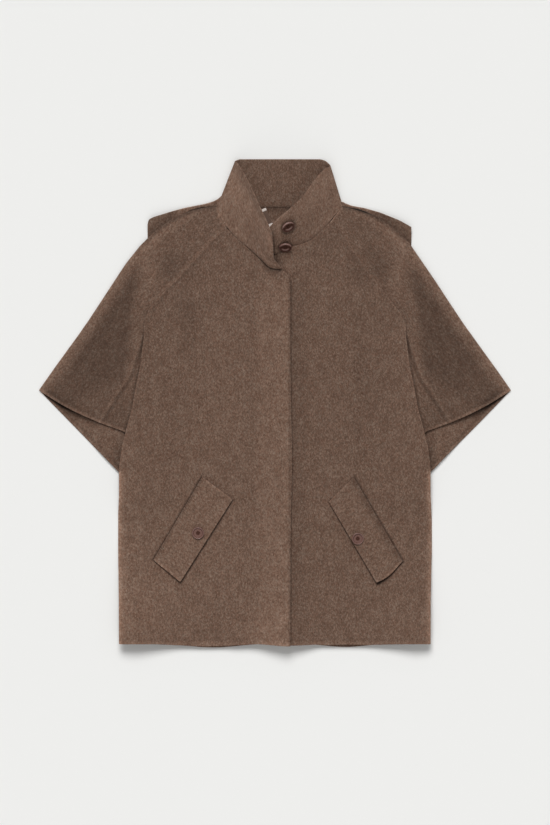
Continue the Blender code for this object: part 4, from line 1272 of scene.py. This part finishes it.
def pocket_flap_under(side, x, y):
    """Underside of a flap. It lies on the front, and its free side and foot are lifted by
    smooth steps of the parts across it and down it."""
    sewn, _, _, top = flap_sides(side, x, y)
    width, length = POCKET_FLAP_SIZE
    lift = 0
    for most, (across, along) in zip(POCKET_FLAP_LIFT[side], (FREE_LIFT_EASE, FOOT_LIFT_EASE)):
        part = smoothstep(-sewn / width, *across) * smoothstep(-top / length, *along)
        lift = lift + most * part
    return FRONT_UNDERS[side](x, y) + CLOTH + POCKET_FLAP_GAP + lift


# On the pocket flaps: a level, painted shade beside the sewn side and below the top, and a
# painted highlight along the foot
POCKET_LEVEL = {"right": 1.13, "left": 1.04}
SEWN_SIDE = {
    "right": ((0.0, -0.34), (1.8, -0.22), (3.8, 0.0)),
    "left": ((0.0, -0.3), (1.6, -0.26), (5.0, -0.15), (10.0, -0.06), (15.0, 0.0)),
}
FLAP_TOP = {
    "right": ((0.0, 0.03), (2.5, 0.02), (4.5, -0.08), (9.0, -0.08), (13.0, 0.0)),
    "left": ((0.0, 0.0), (3.0, -0.04), (12.0, -0.04), (20.0, 0.0)),
}
FLAP_FOOT = ((0.0, 0.32), (1.6, 0.24), (3.2, 0.0))


def pocket_flap_painted_light(points, plans):
    """A flap has a painted highlight at its foot and painted shade beside its sewn side and below
    its top.
    """
    x, y, _ = points.T
    side = "left" if x.mean() > 0 else "right"
    sewn, foot, _, top = flap_sides(side, x, y)
    shade = POCKET_LEVEL[side] + beside(-sewn, SEWN_SIDE[side]) + beside(-top, FLAP_TOP[side])
    return shade + beside(-foot, FLAP_FOOT)


def pocket_flap(side, look):
    """A double flap from corner to corner, with its sewn side down on the panel and its
    free side a little raised."""
    width, length = POCKET_FLAP_SIZE
    across = np.linspace(0, 1, rows_for(width, FINE_ROW))[None, :, None]
    along = np.linspace(0, 1, rows_for(length, FINE_ROW))[:, None, None]
    along = along * (1 + foot_bow(side, across) / length)
    plan = flap_point(side, across, along)
    heights = pocket_flap_under(side, plan[..., 0], plan[..., 1])
    piece = shell(
        f"pocket_flap_panel_{side}", [laid(plan, heights, 1, POCKET_FLAP_CLOTH)], look,
        POCKET_FLAP_CLOTH, tone_and_painted_light=pocket_flap_painted_light, grain=SIDES[side] * POCKET_FLAP_GRAIN,
        bulge=POCKET_FLAP_BULGE,
    )
    return dressed(piece, f"pocket_flap_{side}")


# Buttons

FLAP_BUTTON = 19.8
COLLAR_BUTTON = 22.2
BUTTON_HEIGHT = 3.2
BUTTON_SIDES = 72
FIRST_RING = 0.05
BUTTON_MIDDLE = (0.42, 26)  # the part of the radius where rings are close, and how many
BUTTON_HOLE = 1.7
HOLE_DEPTH = 2.2
HOLE_LIP = (0.36, 0.62)  # of the hole's width, where its wall ends and starts
HOLE_SPREAD = 1.45
BUTTON_DROP = 1.3  # a collar button sits this far below its place, as it is tipped
BUTTON_SHANK = 1.0  # of a flap's button
SHANK_POINTS = 6  # of the collar, whose mean height a collar button stands over
FLAP_BUTTON_TURNS = {"right": (6.0, -40.0), "left": (14.0, 60.0)}
COLLAR_BUTTON_TURNS = {  # tilt, turn, height over the collar's middle
    "upper": (51.0, 28.0, 6.0),
    "lower": (54.0, 2.0, 6.0),
}
BUTTON_PROFILE = (
    # part of the radius, part of the height
    (0.0, 0.3), (0.34, 0.3), (0.6, 0.32), (0.72, 0.38), (0.79, 0.66), (0.85, 0.96), (0.9, 1.0),
    (0.96, 0.88), (0.99, 0.68), (1.0, 0.5), (0.97, 0.25), (0.90, 0.08), (0.78, 0.0), (0.0, 0.0),
)
# Tone of each button by the part of the radius, from dark to light: painted highlights on the rim
# and painted shade in the dish and round the holes
FLAP_TONES = (
    ((0.0, 0.16), (0.24, 0.18), (0.4, 0.56), (0.6, 0.6), (0.72, 0.46), (0.86, 0.72), (1.0, 0.5)),
) * 3
# A collar button's painted highlight lies on the rim at its far side and inside the rim at its
# near side, over a dish in painted shade
COLLAR_TONES = (  # at the side away from the wearer's feet, at the ends, at the near side
    ((0.0, 0.14), (0.46, 0.16), (0.58, 0.8), (0.94, 1.0), (1.0, 0.5)),
    ((0.0, 0.14), (0.78, 0.16), (0.86, 0.5), (0.95, 0.5), (1.0, 0.2)),
    ((0.0, 0.14), (0.42, 0.18), (0.53, 0.9), (0.68, 0.9), (0.78, 0.16), (1.0, 0.1)),
)
TONE_SECTORS = ((0.2, 0.8), (0.3, 0.85))  # sines where the far and the near side start


def button(name, diameter, place, tilt, turn, tones, look):
    """A turned button: its profile swept round the axis, on rings that are close near the
    sewing holes, each hole a deep dimple with a rounded lip. It is tipped and turned with
    rotation matrices before its points go into the mesh."""
    radius = diameter / 2
    profile = through(np.asarray(BUTTON_PROFILE) * (radius, BUTTON_HEIGHT), steps=6)
    profile[:, 1] -= BUTTON_HEIGHT / 2
    top = profile[np.argmax(profile[:, 0]) - 1 :: -1][::-1]
    part, rings = BUTTON_MIDDLE
    inner = np.linspace(FIRST_RING, part * radius, rings)
    outside = profile[np.argmax(profile[:, 0] > part * radius) + 1 :]
    ring_r = np.concatenate([inner, outside[:-1, 0]])
    ring_z = np.concatenate([np.interp(inner, top[:, 0], top[:, 1]), outside[:-1, 1]])
    angles = np.arange(BUTTON_SIDES) * 2 * math.pi / BUTTON_SIDES
    x = ring_r[:, None] * np.cos(angles)
    y = ring_r[:, None] * np.sin(angles)
    z = ring_z[:, None] + 0 * angles
    upper = np.arange(len(ring_r))[:, None] < len(inner)
    lip = np.multiply(HOLE_LIP, BUTTON_HOLE)
    for a in (-1, 1):
        for b in (-1, 1):
            far = np.hypot(x - a * HOLE_SPREAD, y - b * HOLE_SPREAD)
            z = z - upper * HOLE_DEPTH * fading(far, *lip)
    points = np.dstack([x, y, z]).reshape(-1, 3)
    count = len(points)
    points = np.vstack([points, (0, 0, ring_z[0]), (0, 0, -BUTTON_HEIGHT / 2)])
    index = np.arange(count).reshape(len(ring_r), BUTTON_SIDES)
    here, there = index[:-1], np.roll(index, -1, axis=1)[:-1]
    below, beyond = index[1:], np.roll(index, -1, axis=1)[1:]
    faces = [
        np.stack([here.ravel(), below.ravel(), beyond.ravel()], axis=-1),
        np.stack([here.ravel(), beyond.ravel(), there.ravel()], axis=-1),
        np.stack([np.full(BUTTON_SIDES, count), index[0], np.roll(index[0], -1)], axis=-1),
        np.stack([np.full(BUTTON_SIDES, count + 1), np.roll(index[-1], -1), index[-1]], axis=-1),
    ]
    spun, tipped = np.eye(3), np.eye(3)
    spun[:2, :2], tipped[1:, 1:] = turned_by(turn), turned_by(tilt)
    points = points @ (spun @ tipped).T + place
    # Each point's tone: painted highlight and painted shade by the part of the radius and the
    # side of the rim
    dish = np.concatenate([np.repeat(ring_r, BUTTON_SIDES), [0, radius]]) / radius
    rise = np.sin(np.append(np.tile(angles, len(ring_r)), (0, 0)))
    far, near = (smoothstep(way * rise, *ease) for way, ease in zip((1, -1), TONE_SECTORS))
    sectors = zip((far, 1 - far - near, near), tones)
    ring = sum(part * beside(dish, table) for part, table in sectors)
    return add_piece(name, points, np.concatenate(faces), look, values={"ring": ring})


def node_middle(node):
    """Middle of the box round a node of the frame."""
    low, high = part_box(node)
    return np.array((low + high) / 2) / MM


def buttons(look):
    """Two flap buttons, which rest on their flaps, and two that stand off the collar's left
    half on short shanks, over the mean height of the points nearest to each."""
    for side, (tilt, turn) in FLAP_BUTTON_TURNS.items():
        node = f"flap_button_{side}"
        x, y, _ = node_middle(node)
        top = pocket_flap_under(side, x, y) + POCKET_FLAP_CLOTH
        place = (x, y, top + BUTTON_HEIGHT / 2 + BUTTON_SHANK)
        made = button(f"pocket_button_{side}", FLAP_BUTTON, place, tilt, turn, FLAP_TONES, look)
        dressed(made, node)
    surface = collar_grid()[COLLAR_STATIONS // 2 :].reshape(-1, 3)
    for place, (tilt, turn, shank) in COLLAR_BUTTON_TURNS.items():
        node = f"collar_button_{place}"
        x, y, _ = node_middle(node)
        nearest = np.argsort(np.hypot(surface[:, 0] - x, surface[:, 1] - y))[:SHANK_POINTS]
        middle = (x, y - BUTTON_DROP, surface[nearest, 2].mean() + shank)
        name = f"neck_button_{place}"
        made = button(name, COLLAR_BUTTON, middle, tilt, turn, COLLAR_TONES, look)
        dressed(made, node)


LABEL_SPAN = ((-9.5, 15.0), (-17.0, 16.0))  # across and along the label, from its place
LABEL_TURN = 23.4
LABEL_CLOTH = 0.8
LABEL_POINTS = (26, 60)
LABEL_MIDDLE = 1.0  # of the brown band, along the label
LABEL_ENDS = (10.8, 11.6)  # from there to where the brown ends and the pale starts


def label_bands(points, plans):
    """1 at the label's two pale ends, 0 in its brown middle."""
    return smoothstep(np.abs(plans[:, 1] - LABEL_MIDDLE), *LABEL_ENDS)


def neck_label(look):
    """A plain woven tape, a flat strip in the CAD label's place, pale at its two ends."""
    low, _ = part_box("neck_label")
    (start, end), (foot, head) = LABEL_SPAN
    columns, rows = LABEL_POINTS
    flat = np.meshgrid(np.linspace(start, end, columns), np.linspace(head, foot, rows))
    flat = np.dstack(flat)
    plan = flat @ turned_by(LABEL_TURN).T + node_middle("neck_label")[:2]
    piece = shell(
        "woven_label", [laid(plan, low.z / MM, 1, LABEL_CLOTH)], look, LABEL_CLOTH,
        tone_and_painted_light=label_bands, inner_tone_and_painted_light=1.0, flat=[flat],
    )
    return dressed(piece, "neck_label")


# Materials


def new_material(name, **constants):
    """A material whose shader has the constants given by the names of its sockets."""
    made = bpy.data.materials.new(name)
    made.use_nodes = True
    shader = made.node_tree.nodes["Principled BSDF"]
    for title, value in constants.items():
        shader.inputs[title.replace("_", " ")].default_value = value
    return made, made.node_tree, shader


def display(*rgb):
    """Linear colour from display values of 0 to 255."""
    return tuple(((c / 255 + 0.055) / 1.055) ** 2.4 if c > 10 else c / 255 / 12.92 for c in rgb)


def feed(links, value, socket):
    """A number is set on the socket, another node's socket is linked to it."""
    if isinstance(value, (int, float)):
        socket.default_value = value
    else:
        links.new(value, socket)


def maths(nodes, links, operation, *values):
    """The result of a calculation on one, two or three values."""
    node = nodes.new("ShaderNodeMath")
    node.operation = operation
    for value, socket in zip(values, node.inputs):
        feed(links, value, socket)
    return node.outputs[0]


def attribute(nodes, title):
    """One value given to each point of the mesh."""
    node = nodes.new("ShaderNodeAttribute")
    node.attribute_name = title
    return node.outputs["Fac"]


def ramp(nodes, links, value, *stops):
    """A colour by a value, from pairs of a value and its colour, in rising order."""
    node = nodes.new("ShaderNodeValToRGB")
    links.new(value, node.inputs["Fac"])
    made = node.color_ramp.elements
    for _ in stops[2:]:
        made.new(0.5)
    for stop, (position, colour) in zip(made, stops):
        stop.position, stop.color = position, (*colour, 1)
    return node.outputs["Color"]


def blended(nodes, links, kind, factor, first, second):
    """Two colours put together by the kind of mix and its factor."""
    node = nodes.new("ShaderNodeMix")
    node.data_type = "RGBA"
    node.blend_type = kind
    feed(links, factor, node.inputs["Factor"])
    links.new(first, node.inputs["A"])
    links.new(second, node.inputs["B"])
    return node.outputs["Result"]


def noise(nodes, links, vector, scale, detail, stretch, offset=(0, 0, 0)):
    place = nodes.new("ShaderNodeMapping")
    place.inputs["Scale"].default_value = stretch
    place.inputs["Location"].default_value = offset
    links.new(vector, place.inputs["Vector"])
    made = nodes.new("ShaderNodeTexNoise")
    made.inputs["Scale"].default_value = scale
    made.inputs["Detail"].default_value = detail
    links.new(place.outputs[0], made.inputs["Vector"])
    return made.outputs["Fac"]


def fibre_cells(nodes, links, vector, width, length, turn, offset):
    """Random tone per cell of a grid of loose cells, each about width by length, turned."""
    place = nodes.new("ShaderNodeMapping")
    place.vector_type = "TEXTURE"
    place.inputs["Scale"].default_value = (width, length, 1)
    place.inputs["Rotation"].default_value = (0, 0, math.radians(turn))
    place.inputs["Location"].default_value = (offset, -offset, 0)
    links.new(vector, place.inputs["Vector"])
    cells = nodes.new("ShaderNodeTexVoronoi")
    cells.voronoi_dimensions = "2D"
    cells.inputs["Scale"].default_value = 1.0
    links.new(place.outputs[0], cells.inputs["Vector"])
    split = nodes.new("ShaderNodeSeparateColor")
    links.new(cells.outputs["Color"], split.inputs[0])
    return split.outputs[0], split.outputs[1]


WOOL_COLOURS = (  # tone, colour
    (0.0, display(72.5, 51.8, 41)),
    (0.5, display(103.4, 81.1, 67.9)),
    (1.0, display(135.5, 114.8, 100.8)),
)
WOOL_TINTS = ((0.1, (0.95, 1.02, 1.05)), (0.9, (1.06, 0.98, 0.95)))
WOOL_CELLS = {  # width and length in metres, turn, offset
    "tuft": (0.0014, 0.0027, 18, 0.31),
    "cross": (0.0013, 0.0024, -27, 0.77),
    "fibre": (0.0003, 0.0016, 8, 0.13),
}
WOOL_CLOUDS = {  # scale, detail, stretch, offset
    "fleck": (300, 2.0, (1, 0.8, 1), (7, 5, 0)),
    "cloud": (70, 2.0, (1, 0.6, 1), (1, 9, 0)),
}
WOOL_TONE = {"tuft": 0.28, "cross": 0.28, "fibre": 0.22, "fleck": 0.6, "cloud": 0.42}
WOOL_HEIGHT = {"fibre": 0.5, "fleck": 1.0}
WOOL_BUMP = {"Strength": 0.5, "Distance": 0.0006}
# The painted highlight on the rims
RIM_HIGHLIGHT = 0.18  # how much lighter a rim is


def melange_group():
    """Mixed wool fibres. A tone from 0 to 1 is the half, plus weighted random values, each
    taken from its mean: tufts that lie two ways, single fibres, flecks and clouds. The tone
    picks a colour from dark to light, which the painted light given to each point and the
    painted highlight on the rims then scale."""
    group = bpy.data.node_groups.new("wool_melange", "ShaderNodeTree")
    for title, way, kind in (
        ("Cloth", "INPUT", "Vector"), ("Tone_and_painted_light", "INPUT", "Float"), ("Rim", "INPUT", "Float"),
        ("Color", "OUTPUT", "Color"), ("Height", "OUTPUT", "Float"),
    ):
        group.interface.new_socket(name=title, in_out=way, socket_type=f"NodeSocket{kind}")
    nodes, links = group.nodes, group.links
    source, out = nodes.new("NodeGroupInput"), nodes.new("NodeGroupOutput")
    cloth = source.outputs["Cloth"]
    values, hues = {}, {}
    for title, sizes in WOOL_CELLS.items():
        values[title], hues[title] = fibre_cells(nodes, links, cloth, *sizes)
    for title, sizes in WOOL_CLOUDS.items():
        values[title] = noise(nodes, links, cloth, *sizes)

    def weighted(total, weights):
        """The total and the values by their weights, each taken from its mean."""
        for title, weight in weights.items():
            centred = maths(nodes, links, "SUBTRACT", values[title], 0.5)
            total = maths(nodes, links, "MULTIPLY_ADD", centred, weight, total)
        return total

    colour = ramp(nodes, links, weighted(0.5, WOOL_TONE), *WOOL_COLOURS)
    hue = maths(nodes, links, "MULTIPLY", hues["cross"], 0.5)
    hue = maths(nodes, links, "MULTIPLY_ADD", hues["tuft"], 0.5, hue)
    tint = ramp(nodes, links, hue, *WOOL_TINTS)
    tinted = blended(nodes, links, "MULTIPLY", 1.0, colour, tint)

    # The painted light given to each point and the painted highlight on the rims scale the colour
    pale = maths(nodes, links, "MULTIPLY_ADD", source.outputs["Rim"], RIM_HIGHLIGHT, 1.0)
    factor = maths(nodes, links, "MULTIPLY", source.outputs["Tone_and_painted_light"], pale)
    shade = nodes.new("ShaderNodeCombineXYZ")
    for socket in shade.inputs:
        links.new(factor, socket)
    shaded = blended(nodes, links, "MULTIPLY", 1.0, tinted, shade.outputs[0])
    links.new(shaded, out.inputs["Color"])
    links.new(weighted(0.0, WOOL_HEIGHT), out.inputs["Height"])
    return group


def wool():
    """Brushed wool: mixed fibres for its colour and its bumps, under a faint sheen."""
    made, tree, shader = new_material(
        "brushed_wool", Roughness=0.92, Specular_IOR_Level=0.15, Sheen_Weight=0.12,
        Sheen_Roughness=0.45, Sheen_Tint=(0.75, 0.62, 0.54, 1),
    )
    nodes, links = tree.nodes, tree.links
    cloth = nodes.new("ShaderNodeUVMap")
    cloth.uv_map = "UVMap"
    fibres = nodes.new("ShaderNodeGroup")
    fibres.node_tree = melange_group()
    links.new(cloth.outputs["UV"], fibres.inputs["Cloth"])
    for title in ("tone_and_painted_light", "rim"):
        links.new(attribute(nodes, title), fibres.inputs[title.capitalize()])
    links.new(fibres.outputs["Color"], shader.inputs["Base Color"])
    bump = nodes.new("ShaderNodeBump")
    for title, value in WOOL_BUMP.items():
        bump.inputs[title].default_value = value
    links.new(fibres.outputs["Height"], bump.inputs["Height"])
    links.new(bump.outputs["Normal"], shader.inputs["Normal"])
    return made


HORN_TONES = (
    (0.1, display(66, 39, 29)), (0.5, display(100, 72, 64)), (0.9, display(136, 104, 96)),
)
HORN_STREAKS = (260, 3.0, (1, 3, 1))  # scale, detail, stretch
HORN_STREAK_SHARE = 0.16
HORN_POLISH = (3.3, -1.7, 0.8)  # the coat's weight by the tone: factor, start, most


def horn():
    """Brown horn, dark to light by the tone given to each point, which holds painted highlights
    and painted shade, with streaks. Its light rim is polished, its dark dish is dull."""
    made, tree, shader = new_material(
        "brown_horn", Roughness=0.4, Specular_IOR_Level=0.1, Coat_Roughness=0.16
    )
    nodes, links = tree.nodes, tree.links
    place = nodes.new("ShaderNodeTexCoord")
    streak = noise(nodes, links, place.outputs["Object"], *HORN_STREAKS)
    ring = attribute(nodes, "ring")
    tone = maths(nodes, links, "SUBTRACT", ring, HORN_STREAK_SHARE / 2)
    tone = maths(nodes, links, "MULTIPLY_ADD", streak, HORN_STREAK_SHARE, tone)
    links.new(ramp(nodes, links, tone, *HORN_TONES), shader.inputs["Base Color"])
    factor, start, most = HORN_POLISH
    polish = maths(nodes, links, "MULTIPLY_ADD", ring, factor, start)
    links.new(maths(nodes, links, "MINIMUM", polish, most), shader.inputs["Coat Weight"])
    return made


TAPE_WEAVE = 600
TAPE_COLOURS = (  # dark and light threads of the brown band, then of the pale ends
    ((86, 63, 51), (104, 80, 66)),
    ((206, 192, 184), (238, 228, 220)),
)


def label_tape():
    """Fine plain weave, pale or brown by the band given to each point."""
    made, tree, shader = new_material("label_tape", Roughness=0.75)
    nodes, links = tree.nodes, tree.links
    place = nodes.new("ShaderNodeTexCoord")
    weave = nodes.new("ShaderNodeTexWave")
    weave.inputs["Scale"].default_value = TAPE_WEAVE
    links.new(place.outputs["UV"], weave.inputs["Vector"])
    brown, pale = (
        ramp(nodes, links, weave.outputs["Fac"], (0, display(*dark)), (1, display(*light)))
        for dark, light in TAPE_COLOURS
    )
    bands = blended(nodes, links, "MIX", attribute(nodes, "tone_and_painted_light"), brown, pale)
    links.new(bands, shader.inputs["Base Color"])
    return made


# Table, light and camera


TABLE_HALF = 40000.0
TABLE_DROP = 0.05


def table_top():
    """A plain pale table, far larger than the garment and just below it."""
    made, _, _ = new_material(
        "pale_table", Roughness=0.9, Base_Color=(*display(238, 238, 236), 1),
        Specular_IOR_Level=0.1,
    )
    around = np.array([(-1, -1), (1, -1), (1, 1), (-1, 1)]) * TABLE_HALF
    corners = np.column_stack([around, np.full(len(around), -TABLE_DROP)])
    piece = add_piece("table_top", corners, [(0, 1, 2, 3)], made)


SOFTBOXES = {
    # elevation, turn from the collar's side towards the wearer's right, spread, share of light
    "key": (50.0, 6.0, 32.0, 0.60),
    "fill": (40.0, 178.0, 60.0, 0.16),
}
ROOM_SHARE = 0.24
BACKDROP = 0.84


def lights():
    """Two soft lamps and an even room light. Their shares of the light on the table add up
    to 1: a lamp's strength is its share times pi over the sine of its elevation."""
    for name, (elevation, turn, spread, share) in SOFTBOXES.items():
        elevation, turn = math.radians(elevation), math.radians(turn)
        lamp = bpy.data.lights.new(name, "SUN")
        lamp.energy = share * math.pi / math.sin(elevation)
        lamp.angle = math.radians(spread)
        made = bpy.data.objects.new(name, lamp)
        made.rotation_euler = (elevation - math.pi / 2, 0, turn)
        bpy.context.scene.collection.objects.link(made)
    room = bpy.data.worlds.new("room")
    room.use_nodes = True
    nodes, links = room.node_tree.nodes, room.node_tree.links
    air = nodes["Background"]
    air.inputs["Color"].default_value = (1, 1, 1, 1)
    air.inputs["Strength"].default_value = ROOM_SHARE
    seen = nodes.new("ShaderNodeBackground")
    seen.inputs["Color"].default_value = (1, 1, 1, 1)
    seen.inputs["Strength"].default_value = BACKDROP
    ray = nodes.new("ShaderNodeLightPath")
    shown = ray.outputs["Is Camera Ray"]
    for title in ("Is Glossy Ray", "Is Transmission Ray"):
        shown = maths(nodes, links, "MAXIMUM", shown, ray.outputs[title])
    mix = nodes.new("ShaderNodeMixShader")
    links.new(shown, mix.inputs[0])
    links.new(air.outputs[0], mix.inputs[1])
    links.new(seen.outputs[0], mix.inputs[2])
    links.new(mix.outputs[0], nodes["World Output"].inputs["Surface"])
    bpy.context.scene.world = room


# In metres: the lens's height, the view's longer side, the cloth's height at which that is
# measured, and the view's centre along Y
LENS_HEIGHT, VIEW_HEIGHT, CLOTH_HEIGHT, VIEW_CENTRE_Y = 14.0, 1.3365, 0.008, -0.0154
SENSOR = 36.0


def camera():
    """Straight above the garment, a long way up. The focal length is the sensor's size
    times the distance over the height of the view."""
    lens = bpy.data.cameras.new("overhead")
    lens.sensor_width = SENSOR
    lens.lens = SENSOR * (LENS_HEIGHT - CLOTH_HEIGHT) / VIEW_HEIGHT
    lens.clip_end = 200.0
    made = bpy.data.objects.new("overhead", lens)
    made.location = (0, VIEW_CENTRE_Y, LENS_HEIGHT)
    bpy.context.scene.collection.objects.link(made)
    bpy.context.scene.camera = made
    bpy.context.scene.view_settings.view_transform = "Standard"


def build():
    cloth, dark, tape = wool(), horn(), label_tape()
    storm_flap(cloth)
    back(cloth)
    for side in SIDES:
        sleeve_back(side, cloth)
        sleeve_front(side, cloth)
        front(side, cloth)
        pocket_flap(side, cloth)
    collar(cloth)
    buttons(dark)
    neck_label(tape)
    table_top()
    lights()
    camera()


build()
